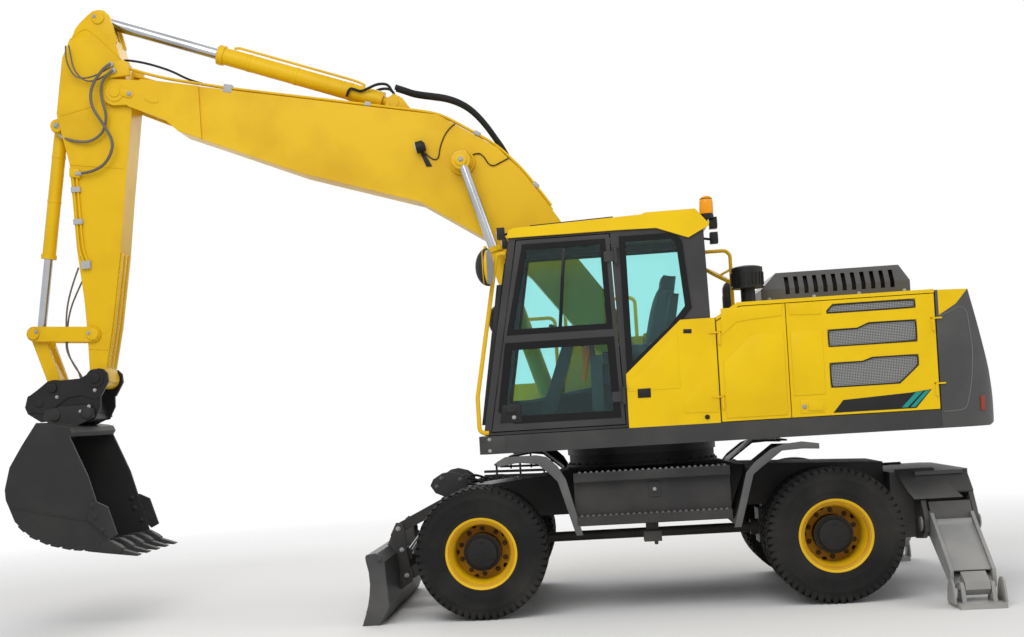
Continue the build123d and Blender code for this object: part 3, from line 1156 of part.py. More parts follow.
# Quick coupler: two side plates on the arm, bored for the bucket's two pins
ear_pin_radius = 38.0
coupler_relief = 12.0
rear_ear_pin = (ear_pin[0] + 290, ear_pin[1] - 5)
with BuildPart() as coupler:
    outline = [(4690, 2170), (coupler_pin[0] + 38, coupler_pin[1] + 58), (5357, 2028), (5387, 1934), (5363, 1871),
               (5253, 1796), (5150, 1800), (4900, 1770), (4760, 1790), (4700, 1900)]
    raised = [(4619, 2195), (4655, 2232), (4700, 2241), (4753, 2222), (4872, 2158), (4956, 2146),
              (coupler_pin[0] - 20, coupler_pin[1] + 72), (coupler_pin[0] + 38, coupler_pin[1] + 62), (5319, 2045),
              (5357, 2030), (5387, 1934), (5363, 1871), (5297, 1889), (5230, 1870), (5161, 1880), (5073, 1946),
              (4986, 2001), (4860, 2013), (4738, 1965), (4684, 2002), (4614, 2119)]
    holes = [(*nose_pin, arm_pins + pin_fit), (*coupler_pin, 30)]
    add(both(plate(raised, coupler_y[0], coupler_y[1], holes)))
    add(both(plate(outline, coupler_y[0], coupler_y[1] - coupler_relief, holes)))
    add(plate([(5225, 1885), (5345, 1925), (5355, 1880), (5250, 1812)], -coupler_y[0] - 5, coupler_y[0] + 5))
    add(both(bar(nose_pin, 80, coupler_y[1] - 1, coupler_y[1] + 10, arm_pins + pin_fit)))
    add(both(bar(coupler_pin, 36, coupler_y[0], coupler_y[1] + 10)))
    add(plate([(4790, 1960), (5040, 1930), (5150, 1840), (4900, 1775), (4770, 1800)], -coupler_y[0] - 5, coupler_y[0] + 5))
    for pin in (ear_pin, rear_ear_pin):
        add(bar(pin, ear_pin_radius + seat, -coupler_y[1] - 5, coupler_y[1] + 5), mode=Mode.SUBTRACT)
save(coupler, "coupler")

# Bucket: a bent shell between two side plates, ears for the coupler, lip and five teeth
bucket_shell = [(4903, 1747), (5150, 1788), (5290, 1600), (5410, 1420), (5465, 1229), (5462, 1142), (5392, 948),
                (5280, 830), (5100, 740), (4900, 690), (4600, 660)]
bucket_inner = [(4925, 1728), (5138, 1760), (5268, 1585), (5386, 1405), (5438, 1228), (5434, 1150), (5368, 962),
                (5264, 852), (5092, 764), (4895, 714), (4594, 684)]
mouth_side = [(4903, 1747), (5150, 1788), (5290, 1600), (5410, 1420), (5465, 1229), (5462, 1142), (5392, 948),
              (5280, 830), (5100, 740), (4900, 690), (4600, 660), (4562, 707), (4640, 1000), (4720, 1300)]
mouth_beam = [(4903, 1747), (4862, 1735), (4842, 1690), (4868, 1652), (4930, 1660), (4950, 1735)]
cutter_side = [(4703, 1085), (4651, 1082), (4558, 1035), (4486, 794), (4556, 760), (4738, 935)]
cutter_thick = 22.0
teeth = 5
side_plate = 28.0
with BuildPart() as bucket:
    add(plate(bucket_shell + list(reversed(bucket_inner)), -bucket_half, bucket_half))
    add(both(plate(mouth_side, bucket_half - side_plate, bucket_half)))
    add(plate(mouth_beam, -bucket_half + 2, bucket_half - 2))
    add(both(plate(cutter_side, bucket_half - 2, bucket_half + cutter_thick)))
    ear = [(4915, 1745), (ear_pin[0] - 60, ear_pin[1] - 40), (ear_pin[0] - 62, ear_pin[1] + 30), (ear_pin[0], ear_pin[1] + 68),
           (5040, 1920), (5190, 1900), (5215, 1820), (5160, 1780)]
    add(both(plate(ear, coupler_y[1] + side_gap, coupler_y[1] + side_gap + 34)))
    for pin in (ear_pin, rear_ear_pin):
        add(bar(pin, ear_pin_radius, -coupler_y[1] - side_gap - 44, coupler_y[1] + side_gap + 44))
    tooth_step = (2 * bucket_half - 90) / (teeth - 1)
    for number in range(teeth):
        y = -bucket_half + 45 + number * tooth_step
        add(plate([(4760, 660), (4770, 720), (4600, 712), (4420, 650), (4311, 612), (4330, 600), (4600, 636)], y - 42, y + 42))
save(bucket, "bucket")
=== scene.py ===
import json
import math

import bpy
from mathutils import Matrix, Vector


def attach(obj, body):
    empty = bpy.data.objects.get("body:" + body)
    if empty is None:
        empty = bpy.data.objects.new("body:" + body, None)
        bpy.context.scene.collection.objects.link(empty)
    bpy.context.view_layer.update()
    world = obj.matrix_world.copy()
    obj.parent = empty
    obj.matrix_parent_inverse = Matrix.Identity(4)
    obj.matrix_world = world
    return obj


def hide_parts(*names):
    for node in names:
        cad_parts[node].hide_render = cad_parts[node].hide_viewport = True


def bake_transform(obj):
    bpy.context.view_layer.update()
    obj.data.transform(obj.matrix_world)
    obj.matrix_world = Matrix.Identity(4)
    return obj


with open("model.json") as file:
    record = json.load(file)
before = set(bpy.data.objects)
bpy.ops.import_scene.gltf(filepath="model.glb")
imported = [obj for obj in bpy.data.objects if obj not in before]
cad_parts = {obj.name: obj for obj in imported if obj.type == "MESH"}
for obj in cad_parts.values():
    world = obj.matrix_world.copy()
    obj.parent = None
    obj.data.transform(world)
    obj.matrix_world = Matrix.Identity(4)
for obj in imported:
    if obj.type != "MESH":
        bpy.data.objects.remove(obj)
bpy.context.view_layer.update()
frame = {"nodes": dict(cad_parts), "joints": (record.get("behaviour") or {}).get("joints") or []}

# Studio. A pale floor, one broad soft light high on the photographed side, two weaker ones behind
# and a white surround, which the camera, gloss and glass see brighter than the matt surfaces do.
# The camera stands 13 m to the machine's left, and its picture is a cut-out of a larger one.
slew_joint = [joint for joint in frame["joints"] if joint["name"] == "slew"][0]
axis_x = slew_joint["pos_m"][0]


def at(x, y, z):
    """A place given from the slewing axis, in metres."""
    return Vector((axis_x + x, y, z))


photo_width, photo_height = 1024, 637
focal_pixels = 1500
principal_x, principal_y = 438, 418
camera_heading = math.radians(186)
camera_roll = math.radians(-3.5)

camera_data = bpy.data.cameras.new("camera")
camera_data.lens = focal_pixels / photo_width * camera_data.sensor_width
camera_data.shift_x = (photo_width / 2 - principal_x) / photo_width
camera_data.shift_y = (principal_y - photo_height / 2) / photo_width
camera_data.clip_end = 200
camera = bpy.data.objects.new("camera", camera_data)
bpy.context.collection.objects.link(camera)
camera.matrix_world = (
    Matrix.Translation(at(0.370, 13.06, 1.62))
    @ Matrix.Rotation(camera_heading, 4, "Z")
    @ Matrix.Rotation(math.pi / 2, 4, "X")
    @ Matrix.Rotation(camera_roll, 4, "Z")
)
bpy.context.scene.camera = camera
bpy.context.scene.view_settings.view_transform = "Standard"

for name, place, aim, size, power in (
    ("key_light", (2.5, 9.0, 9.0), (0.5, 0.0, 2.0), 8.0, 590),
    ("fill_light", (-9.0, 3.0, 5.0), (-0.5, 0.0, 1.5), 6.0, 150),
    ("back_light", (3.0, -9.0, 8.0), (0.5, 0.0, 2.0), 8.0, 390),
):
    light_data = bpy.data.lights.new(name, "AREA")
    light_data.size = size
    light_data.energy = power
    light = bpy.data.objects.new(name, light_data)
    light.location = at(*place)
    light.rotation_euler = (at(*place) - at(*aim)).to_track_quat("Z", "Y").to_euler()
    bpy.context.collection.objects.link(light)


def wire(tree, target, sockets):
    """Sets a node's sockets, each to a plain value or to another node's output."""
    for socket, value in dict(sockets).items():
        if isinstance(value, bpy.types.NodeSocket):
            tree.links.new(value, target.inputs[socket])
        else:
            target.inputs[socket].default_value = value


def node(tree, kind, output, sockets=(), **settings):
    """Adds a shader node with its settings and sockets, and gives back one of its outputs."""
    made = tree.nodes.new("ShaderNode" + kind)
    for setting, value in settings.items():
        setattr(made, setting, value)
    wire(tree, made, sockets)
    return made.outputs[output]


def blank(name):
    """A new material, its node tree and its shader."""
    material = bpy.data.materials.new(name)
    material.use_nodes = True
    return material, material.node_tree, material.node_tree.nodes["Principled BSDF"]


world = bpy.data.worlds.new("surround")
world.use_nodes = True
bpy.context.scene.world = world
sky = world.node_tree
surround_light = sky.nodes["Background"]
wire(sky, surround_light, {"Color": (1, 1, 1, 1), "Strength": 0.58})
seen_white = node(sky, "Background", 0, {"Color": (1, 1, 1, 1), "Strength": 1.0})
ray = sky.nodes.new("ShaderNodeLightPath").outputs
seen = node(sky, "Math", 0, {0: ray["Is Camera Ray"], 1: ray["Is Glossy Ray"]}, operation="MAXIMUM")
seen = node(sky, "Math", 0, {0: seen, 1: ray["Is Transmission Ray"]}, operation="MAXIMUM")
surround = node(sky, "MixShader", 0, {0: seen, 1: surround_light.outputs[0], 2: seen_white})
wire(sky, sky.nodes["World Output"], {"Surface": surround})

floor_size, fade_start, fade_end = 30, 6.0, 12
bpy.ops.object.select_all(action="DESELECT")
bpy.ops.mesh.primitive_plane_add(size=floor_size, location=(0, 0, 0))
floor = bpy.context.object
floor.name = "floor"
pale_floor, floor_tree, floor_shader = blank("pale_floor")
floor_place = node(floor_tree, "TexCoord", "Object")
floor_reach = node(floor_tree, "VectorMath", "Value", {0: floor_place}, operation="LENGTH")
floor_fade = node(floor_tree, "MapRange", "Result",
                  {"Value": floor_reach, "From Min": fade_end, "From Max": fade_start})
wire(floor_tree, floor_shader, {
    "Base Color": (0.84, 0.84, 0.84, 1), "Roughness": 0.9, "Specular IOR Level": 0.1, "Alpha": floor_fade})
floor.data.materials.append(pale_floor)

# Carrier frame, axles and slewing ring. Welded plate and castings in near-black satin paint, dusty
# low down, with the ring's two rows of bolts under the house. The solids keep their shape.


def linear(red, green, blue):
    """A colour of the photograph, 0 to 255, as a linear colour."""
    steps = [value / 255 for value in (red, green, blue)]
    return [step / 12.92 if step < 0.04 else ((step + 0.055) / 1.055) ** 2.4 for step in steps] + [1]


def painted(name, colour, faded, roughness, grain=0.0004, edge=0.004, dust_top=0.0):
    """Sprayed paint: tone clouds, gloss varies, edges are rounded, with a little rubbing and a painted highlight.
    """
    material, tree, shader = blank(name)
    place = node(tree, "TexCoord", "Object")
    cloud = node(tree, "TexNoise", "Fac", {"Vector": place, "Scale": 2.3, "Detail": 7})
    peel = node(tree, "TexNoise", "Fac", {"Vector": place, "Scale": 160})
    patches = node(tree, "MapRange", "Result", {"Value": cloud, "From Min": 0.42, "From Max": 0.72})
    skin = node(tree, "Mix", "Result", {"A": colour, "B": faded, "Factor": patches}, data_type="RGBA")
    soft_edge = node(tree, "Bevel", "Normal", {"Radius": edge})
    surface = node(tree, "NewGeometry", "Normal")
    along = node(tree, "VectorMath", "Value", {0: soft_edge, 1: surface}, operation="DOT_PRODUCT")
    # Edges are painted lighter: a little real rubbing, and mostly a painted highlight along every edge.
    edge_wear_and_highlight = node(tree, "MapRange", "Result",
                  {"Value": along, "From Min": 0.97, "From Max": 0.80, "To Max": 0.18})
    worn_and_highlit_edge = [min(1, value * 0.75 + 0.16) for value in colour[:3]] + [1]
    skin = node(tree, "Mix", "Result", {"A": skin, "B": worn_and_highlit_edge, "Factor": edge_wear_and_highlight}, data_type="RGBA")
    if dust_top:
        height = node(tree, "SeparateXYZ", "Z", {"Vector": place})
        low = node(tree, "MapRange", "Result",
                   {"Value": height, "From Min": dust_top, "From Max": 0.0, "To Max": 0.5})
        film = node(tree, "Math", "Value", {0: low, 1: cloud}, operation="MULTIPLY")
        dust = linear(132, 122, 108)
        skin = node(tree, "Mix", "Result", {"A": skin, "B": dust, "Factor": film}, data_type="RGBA")
    gloss = node(tree, "MapRange", "Result",
                 {"Value": cloud, "To Min": roughness - 0.06, "To Max": roughness + 0.08})
    bump = node(tree, "Bump", "Normal",
                {"Height": peel, "Normal": soft_edge, "Strength": 0.5, "Distance": grain})
    wire(tree, shader, {"Base Color": skin, "Roughness": gloss, "Normal": bump, "Specular IOR Level": 0.2})
    return material


def dress(material, *names):
    """Gives CAD nodes, which keep their shape, a finished material."""
    for name in names:
        for slot in frame["nodes"][name].material_slots:
            slot.material = material


def only(piece):
    """Leaves the piece alone selected, and active."""
    bpy.ops.object.select_all(action="DESELECT")
    piece.select_set(True)
    bpy.context.view_layer.objects.active = piece


def baked(piece, name, material):
    """Bakes the piece's place into its mesh, names it and paints it."""
    only(piece)
    bpy.ops.object.transform_apply(location=True, rotation=True, scale=True)
    piece.name = name
    piece.data.materials.clear()
    piece.data.materials.append(material)
    return piece


def settle(piece, name, body, material):
    """Bakes, names and paints the piece, and hangs it on its body."""
    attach(baked(piece, name, material), body)
    return piece


def joined(pieces):
    """Several pieces as one mesh."""
    only(pieces[0])
    for piece in pieces:
        piece.select_set(True)
    if len(pieces) > 1:
        bpy.ops.object.join()
    return pieces[0]


def soften(piece, width, segments=2, limit=35):
    """Rounds the piece's edges and shades its faces smooth up to the edge angle."""
    only(piece)
    bevel = piece.modifiers.new("round", "BEVEL")
    bevel.width = width
    bevel.segments = segments
    bevel.angle_limit = math.radians(limit)
    bpy.ops.object.modifier_apply(modifier="round")
    bpy.ops.object.shade_smooth_by_angle(angle=math.radians(limit))
    return piece


def opened(piece, facing):
    """Opens the piece in edit mode with the faces that look one way selected."""
    bpy.ops.object.mode_set(mode="EDIT")
    bpy.ops.mesh.select_all(action="DESELECT")
    bpy.ops.object.mode_set(mode="OBJECT")
    for face in piece.data.polygons:
        face.select = face.normal.dot(Vector(facing)) > 0.9
    bpy.ops.object.mode_set(mode="EDIT")


def copies(model, placings):
    """Copies of a model, each with its own mesh, at a place and a turn of its own."""
    made = []
    for place, turn in placings:
        copy = model.copy()
        copy.data = model.data.copy()
        copy.location = place
        copy.rotation_euler = turn
        bpy.context.collection.objects.link(copy)
        made.append(copy)
    return made


frame_paint = painted("frame_paint", linear(46, 46, 48), linear(64, 63, 62), 0.5, dust_top=1.1)
dress(frame_paint, "chassis_frame", "slew_ring", "front_axle", "rear_axle", "knuckle_left",
      "knuckle_right", "steering_rod")
bright_steel = painted("bright_steel", linear(176, 176, 176), linear(150, 150, 150), 0.32)


def bolts(name, places, direction, radius, body, material=bright_steel, ring=1.6):
    """Hexagon bolts on round washers: one is modelled, and the others are its copies."""
    bpy.ops.object.select_all(action="DESELECT")
    bpy.ops.mesh.primitive_cylinder_add(vertices=16, radius=radius * ring, depth=radius * 0.5)
    washer = bpy.context.object
    bpy.ops.mesh.primitive_cylinder_add(
        vertices=6, radius=radius, depth=radius * 1.2, location=(0, 0, radius * 0.6)
    )
    opened(bpy.context.object, (0, 0, 1))
    bpy.ops.mesh.inset(thickness=radius * 0.18)
    bpy.ops.transform.translate(value=(0, 0, radius * 0.12))
    bpy.ops.object.mode_set(mode="OBJECT")
    washer.select_set(True)
    bpy.ops.object.join()
    first = bpy.context.object
    bpy.ops.object.transform_apply(location=True, rotation=True, scale=True)
    turn = Vector(direction).to_track_quat("Z", "Y").to_euler()
    row = copies(first, [(place, turn) for place in places])
    bpy.data.objects.remove(first)
    return settle(joined(row), name, body, material)


ring_bolt_circle, ring_bolt_z = 0.615, 1.152
ring_bolts = [
    at(ring_bolt_circle * math.cos(turn), ring_bolt_circle * math.sin(turn), ring_bolt_z)
    for turn in [math.radians(step * 10) for step in range(36)]
]
bolts("slew_ring_bolts", ring_bolts, (0, 0, 1), 0.012, "chassis", frame_paint)

# Side boxes with their steps, between the axles. Bent sheet with toothed step edges of pressed
# steel, a small square latch on each lid and a valve box hung underneath. Boxes and steps are CAD.
dress(frame_paint, "side_boxes")
guard_grey = painted("guard_grey", linear(92, 92, 93), linear(110, 109, 106), 0.45, dust_top=0.9)
box_rear, box_front = -0.64, 0.575
step_edge_y = 1.230
tooth_pitch = 0.045
tooth_size = (0.027, 0.026, 0.014)
sides = ((1, "left"), (-1, "right"))


def arrayed(piece, count, pitch):
    """Repeats the piece in a row along X."""
    row = piece.modifiers.new("row", "ARRAY")
    row.count = count
    row.use_relative_offset = False
    row.use_constant_offset = True
    row.constant_offset_displace = (pitch, 0, 0)
    bpy.ops.object.modifier_apply(modifier="row")
    return piece


tooth_rows = []
for step_top in (0.774, 1.116):
    for side, name in sides:
        bpy.ops.object.select_all(action="DESELECT")
        bpy.ops.mesh.primitive_cube_add(
            size=1, location=at(box_rear + 0.04, side * (step_edge_y - 0.010), step_top + tooth_size[2] / 2)
        )
        tooth = bpy.context.object
        tooth.scale = tooth_size
        bpy.ops.object.transform_apply(location=False, rotation=False, scale=True)
        opened(tooth, (0, 0, 1))
        bpy.ops.transform.resize(value=(0.45, 0.9, 1))
        bpy.ops.object.mode_set(mode="OBJECT")
        tooth_rows.append(arrayed(tooth, int((box_front - box_rear - 0.08) / tooth_pitch) + 1, tooth_pitch))
settle(joined(tooth_rows), "step_teeth", "chassis", guard_grey)


def face_of(corners):
    """A flat face with these corners, all selected in edit mode."""
    bpy.ops.object.select_all(action="DESELECT")
    bpy.ops.mesh.primitive_circle_add(vertices=len(corners), radius=1, fill_type="NGON")
    piece = bpy.context.object
    for vertex, corner in zip(piece.data.vertices, corners):
        vertex.co = corner
    bpy.ops.object.mode_set(mode="EDIT")
    bpy.ops.mesh.select_all(action="SELECT")
    return piece


def outwards():
    """Turns every face of the open mesh outwards and leaves edit mode."""
    bpy.ops.mesh.select_all(action="SELECT")
    bpy.ops.mesh.normals_make_consistent(inside=False)
    bpy.ops.object.mode_set(mode="OBJECT")


def plate(outline, low, high):
    """A flat plate cut to an outline in X and Z from the slewing axis, from one Y to another."""
    low, high = sorted((low, high))
    piece = face_of([at(x, low, z) for x, z in outline])
    bpy.ops.mesh.extrude_region_move(TRANSFORM_OT_translate={"value": (0, high - low, 0)})
    outwards()
    return piece


def cut(outline, low, high, rounding, segments=2):
    """A plate with rounded edges."""
    return soften(plate(outline, low, high), rounding, segments)


def oblong(x, other_x, z, other_z):
    """The outline of a rectangle."""
    return [(x, z), (x, other_z), (other_x, other_z), (other_x, z)]


latches = []
for side, name in sides:
    inner, outer = (1.168, 1.178) if side > 0 else (-1.178, -1.168)
    latches.append(cut(oblong(-0.098, -0.008, 0.900, 1.020), inner, outer, 0.004))
    latches.append(cut(oblong(-0.078, -0.028, 0.930, 0.992), inner + side * 0.010, outer + side * 0.006, 0.006))
    bolts("box_latch_bolt_" + name, [at(-0.053, side * 1.184, 0.961)], (0, side, 0), 0.009, "chassis")
settle(joined(latches), "box_latches", "chassis", frame_paint)
step_faces = []
for low_z in (0.706, 1.048):
    for side, name in sides:
        step_face = oblong(box_rear + 0.012, box_front - 0.012, low_z, low_z + 0.066)
        step_faces.append(cut(step_face, side * step_edge_y, side * 1.2335, 0.001, segments=1))
settle(joined(step_faces), "step_faces", "chassis", frame_paint)
valve_box = cut(oblong(-0.090, 0.050, 0.547, 0.631), 1.020, 1.150, 0.006)
valve_hanger = cut(oblong(-0.070, 0.030, 0.620, 0.705), 1.080, 1.092, 0.003)
drain_tap = cut(oblong(-0.060, -0.030, 0.520, 0.550), 1.100, 1.130, 0.008)
settle(joined([valve_box, valve_hanger, drain_tap]), "valve_box", "chassis", frame_paint)

# Mudguards. Bent sheet bands from the side boxes over the tyres, in near-black paint, with a grey
# flat bar welded along each outer edge and two hand bars over the front tyres. The bands are CAD.
dress(frame_paint, "mudguards")


def tube(points, radius, resolution=3):
    """A bent pipe, hose or bar through given control points, as a mesh with closed ends."""
    route = bpy.data.curves.new("route", "CURVE")
    route.dimensions = "3D"
    route.bevel_depth = radius
    route.bevel_resolution = resolution
    route.resolution_u = 5
    route.use_fill_caps = True
    spline = route.splines.new("NURBS")
    spline.points.add(len(points) - 1)
    for control, point in zip(spline.points, points):
        control.co = (*point, 1)
    spline.order_u = 3
    spline.use_endpoint_u = True
    pipe = bpy.data.objects.new("pipe", route)
    bpy.context.collection.objects.link(pipe)
    only(pipe)
    bpy.ops.object.convert(target="MESH")
    bpy.ops.object.mode_set(mode="EDIT")
    bpy.ops.mesh.select_all(action="SELECT")
    bpy.ops.mesh.remove_doubles(threshold=0.0001)
    outwards()
    bpy.ops.object.shade_smooth_by_angle(angle=math.radians(40))
    return bpy.context.object


front_bar = [
    (1.172, 1.243), (1.100, 1.280), (0.850, 1.279), (0.775, 1.262), (0.694, 1.186), (0.634, 1.077), (0.524, 0.630),
    (0.578, 0.630), (0.699, 1.060), (0.745, 1.112), (0.850, 1.208), (1.000, 1.228), (1.168, 1.202),
]
rear_bar = [
    (-0.648, 0.630), (-0.762, 1.050), (-0.826, 1.124), (-0.960, 1.222), (-1.060, 1.257), (-1.200, 1.268),
    (-1.330, 1.247), (-1.330, 1.204), (-1.200, 1.212), (-1.045, 1.205), (-0.880, 1.083), (-0.818, 1.034),
    (-0.702, 0.630),
]
edge_bars = [cut(bar, side * 1.218, side * 1.232, 0.004) for side, name in sides for bar in (front_bar, rear_bar)]
settle(joined(edge_bars), "mudguard_edge_bars", "chassis", guard_grey)
hand_bars = []
for side, name in sides:
    for z in (1.118, 1.153):
        hand_bars.append(tube([
            at(0.780, side * 1.0, z), at(1.060, side * 1.0, z + 0.006), at(1.290, side * 1.0, z + 0.012)], 0.011))
    for x, top in ((0.800, 1.190), (0.990, 1.252), (1.180, 1.226)):
        hand_bars.append(cut(oblong(x, x + 0.016, 1.104, top), side * 0.988, side * 1.012, 0.002))
settle(joined(hand_bars), "mudguard_hand_bars", "chassis", frame_paint)

# Tyres. Eight twin tyres of black rubber, 1055 mm across, with ringed sidewalls, deep shoulder
# lugs and two rows of centre blocks. One tyre is spun and lugged, and the others are its copies.


def rubber(name, colour, dust):
    """Matt rubber with dust in its pores."""
    material = painted(name, colour, dust, 0.72, grain=0.0012, edge=0.003)
    material.node_tree.nodes["Principled BSDF"].inputs["Specular IOR Level"].default_value = 0.15
    return material


tyre_rubber = rubber("tyre_rubber", linear(29, 29, 29), linear(52, 51, 48))
axle_z = 0.5275
tread_radius, lug_foot = 0.5275, 0.510
tyre_profile = (
    (-0.098, 0.256), (-0.112, 0.262), (-0.120, 0.285), (-0.124, 0.288), (-0.132, 0.330),
    (-0.1355, 0.334), (-0.139, 0.385), (-0.137, 0.430), (-0.1385, 0.434), (-0.131, 0.470),
    (-0.120, 0.496), (-0.095, 0.505), (0.0, 0.509), (0.095, 0.505), (0.120, 0.496),
    (0.131, 0.470), (0.1385, 0.434), (0.137, 0.430), (0.139, 0.385), (0.1355, 0.334),
    (0.132, 0.330), (0.124, 0.288), (0.120, 0.285), (0.112, 0.262), (0.098, 0.256),
)


def spun(profile):
    """A ring: a closed profile in Y and radius, turned once round the Y axis."""
    bpy.ops.object.select_all(action="DESELECT")
    bpy.ops.mesh.primitive_circle_add(vertices=len(profile), radius=1, fill_type="NOTHING")
    ring = bpy.context.object
    for vertex, (across, out) in zip(ring.data.vertices, profile):
        vertex.co = (0, across, out)
    bpy.ops.object.mode_set(mode="EDIT")
    bpy.ops.mesh.select_all(action="SELECT")
    bpy.ops.mesh.spin(steps=72, angle=math.tau, use_auto_merge=True, center=(0, 0, 0), axis=(0, 1, 0))
    bpy.ops.mesh.select_all(action="SELECT")
    bpy.ops.mesh.remove_doubles(threshold=0.0001)
    outwards()
    bpy.ops.object.shade_smooth_by_angle(angle=math.radians(30))
    return ring


lug_pitches = 56
tread_parts = [spun(tyre_profile)]
for across, width, along, skew, start in (
    (-0.104, 0.056, 0.036, 0.010, 0.0),
    (0.104, 0.056, 0.036, -0.010, 0.5),
    (-0.034, 0.058, 0.030, -0.012, 0.5),
    (0.034, 0.058, 0.030, 0.012, 0.0),
):
    bpy.ops.mesh.primitive_cube_add(size=1, location=(0, across, lug_foot))
    lug = bpy.context.object
    lug.scale = (along, width, 2 * (tread_radius - lug_foot) - 0.002)
    bpy.ops.object.transform_apply(location=True, rotation=False, scale=True)
    for corner in lug.data.vertices:
        corner.co.x += skew if corner.co.y > across else -skew
        if corner.co.z > lug_foot:
            corner.co.x *= 0.92
            corner.co.z = tread_radius - 0.0015
        if abs(corner.co.y) > 0.125:
            corner.co.z -= 0.010 if corner.co.z > lug_foot else 0.028
    turns = [math.tau * (pitch + start) / lug_pitches for pitch in range(lug_pitches)]
    tread_parts += copies(lug, [((0, 0, 0), (0, turn, 0)) for turn in turns])
    bpy.data.objects.remove(lug)
tyre_model = joined(tread_parts)
bpy.ops.object.transform_apply(location=True, rotation=True, scale=True)

front_axle_x, rear_axle_x = 1.335, -1.415
wheels = (
    ("front_left", front_axle_x, 1), ("front_right", front_axle_x, -1),
    ("rear_left", rear_axle_x, 1), ("rear_right", rear_axle_x, -1),
)
for wheel, wheel_x, side in wheels:
    pair = copies(tyre_model, [(at(wheel_x, side * middle_y, axle_z), (0, 0, 0)) for middle_y in (1.131, 0.813)])
    tyres = settle(joined(pair), "tyre_pair_" + wheel, "wheel_" + wheel, tyre_rubber)
    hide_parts("tyres_" + wheel)
bpy.data.objects.remove(tyre_model)

# Wheel rims. Pressed steel discs in yellow enamel, the deep dish and its ten nuts painted darker as painted
# shade, with a rolled lock ring in full yellow that holds the outer bead, and a black hub with a stepped cap.
rim_yellow = painted("rim_yellow", linear(232, 186, 22), linear(214, 168, 24), 0.40)
# The dish's darker orange-yellow and the nuts' dark brown are painted shade of the deep dish.
shaded_dish_yellow = painted("shaded_dish_yellow", linear(206, 150, 22), linear(166, 112, 24), 0.5)
shaded_nut_brown = painted("shaded_nut_brown", linear(96, 72, 30), linear(70, 58, 40), 0.5)
hub_black = painted("hub_black", linear(26, 26, 27), linear(40, 39, 38), 0.5)
nut_circle = 0.183
dish_y = 0.990
lock_profile = (
    (1.2500, 0.3005), (1.2525, 0.292), (1.2515, 0.280), (1.244, 0.264), (1.228, 0.248), (1.200, 0.234),
    (1.120, 0.222), (0.990, 0.216), (0.990, 0.237), (1.120, 0.2375), (1.215, 0.245), (1.238, 0.270),
    (1.242, 0.299),
)


def drum(place, radius, depth, rounding, segments=2, vertices=32, rotation=(math.pi / 2, 0, 0)):
    """A round piece with rounded rims, lying along Y unless it is turned."""
    bpy.ops.object.select_all(action="DESELECT")
    bpy.ops.mesh.primitive_cylinder_add(
        vertices=vertices, radius=radius, depth=depth, location=place, rotation=rotation)
    return soften(bpy.context.object, rounding, segments)


for wheel, wheel_x, side in wheels:
    dress(shaded_dish_yellow, "rim_" + wheel)
    body = "wheel_" + wheel
    hub = at(wheel_x, 0, axle_z)
    nut_places = [
        hub + Vector((nut_circle * math.cos(turn), side * dish_y, nut_circle * math.sin(turn)))
        for turn in [math.tau * (nut + 0.5) / 10 for nut in range(10)]
    ]
    bolts("wheel_nuts_" + wheel, nut_places, (0, side, 0), 0.013, body, shaded_nut_brown, ring=1.5)
    lock_ring = spun([(side * across, out) for across, out in lock_profile])
    lock_ring.location = hub
    settle(lock_ring, "lock_ring_" + wheel, body, rim_yellow)
    hub_parts = [
        drum(hub + Vector((0, side * (low_y + high_y) / 2, 0)), radius, high_y - low_y, 0.006, 3, vertices=64)
        for radius, low_y, high_y in ((0.1515, 0.986, 1.1215), (0.1195, 1.110, 1.1715))
    ]
    for turn in [math.radians(90 + 120 * number) for number in range(3)]:
        mark = hub + Vector((0.085 * math.cos(turn), side * 1.1735, 0.085 * math.sin(turn)))
        hub_parts.append(drum(mark, 0.012, 0.010, 0.003, vertices=20))
    settle(joined(hub_parts), "hub_" + wheel, body, hub_black)

# Blade. Welded box in grey paint, scratched bright along its lower edge, with a bolted cutting
# edge, hollow-fronted end plates, pin plates, and parallel links and cylinders behind it. A copy
# of the CAD blade takes the end plates' curve. Links and cylinders are CAD.
blade_grey = painted("blade_grey", linear(68, 68, 69), linear(90, 89, 87), 0.45)
dress(blade_grey, "blade")
dress(frame_paint, "blade_links_lower", "blade_links_upper", "blade_barrels")
chrome = painted("chrome", linear(178, 180, 183), linear(156, 158, 161), 0.18, grain=0.0001)
chrome.node_tree.nodes["Principled BSDF"].inputs["Metallic"].default_value = 1.0
dress(chrome, "blade_rods")
blade_half = 1.215

blade_front = (
    (0.0, 2.316), (0.095, 2.282), (0.170, 2.260), (0.240, 2.246), (0.330, 2.236), (0.430, 2.241), (0.510, 2.258),
    (0.545, 2.262), (0.580, 2.244),
)
cad_blade = frame["nodes"]["blade"]
shaped_blade = bpy.data.objects.new("shaped_blade", cad_blade.data.copy())
shaped_blade.matrix_world = cad_blade.matrix_world
bpy.context.collection.objects.link(shaped_blade)
only(shaped_blade)
bpy.ops.object.transform_apply(location=True, rotation=True, scale=True)
bpy.ops.object.mode_set(mode="EDIT")
for height, _ in blade_front[1:-1]:
    bpy.ops.mesh.select_all(action="SELECT")
    bpy.ops.mesh.bisect(plane_co=(0, 0, height), plane_no=(0, 0, 1))
bpy.ops.object.mode_set(mode="OBJECT")
for vertex in shaped_blade.data.vertices:
    if abs(vertex.co.y) > 1.205 and vertex.co.x > axis_x + 2.21:
        for (low, low_x), (high, high_x) in zip(blade_front, blade_front[1:]):
            if low <= vertex.co.z + 0.0001 <= high:
                wanted = axis_x + low_x + (high_x - low_x) * (vertex.co.z - low) / (high - low)
                vertex.co.x = min(vertex.co.x, wanted)
settle(shaped_blade, "blade_shell", "blade", blade_grey)
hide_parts("blade")
lug_outline = [
    (2.108, 0.180), (2.005, 0.244), (1.988, 0.320), (2.014, 0.372), (2.036, 0.520), (2.028, 0.650), (2.056, 0.740),
    (2.112, 0.754), (2.166, 0.650), (2.110, 0.500),
]
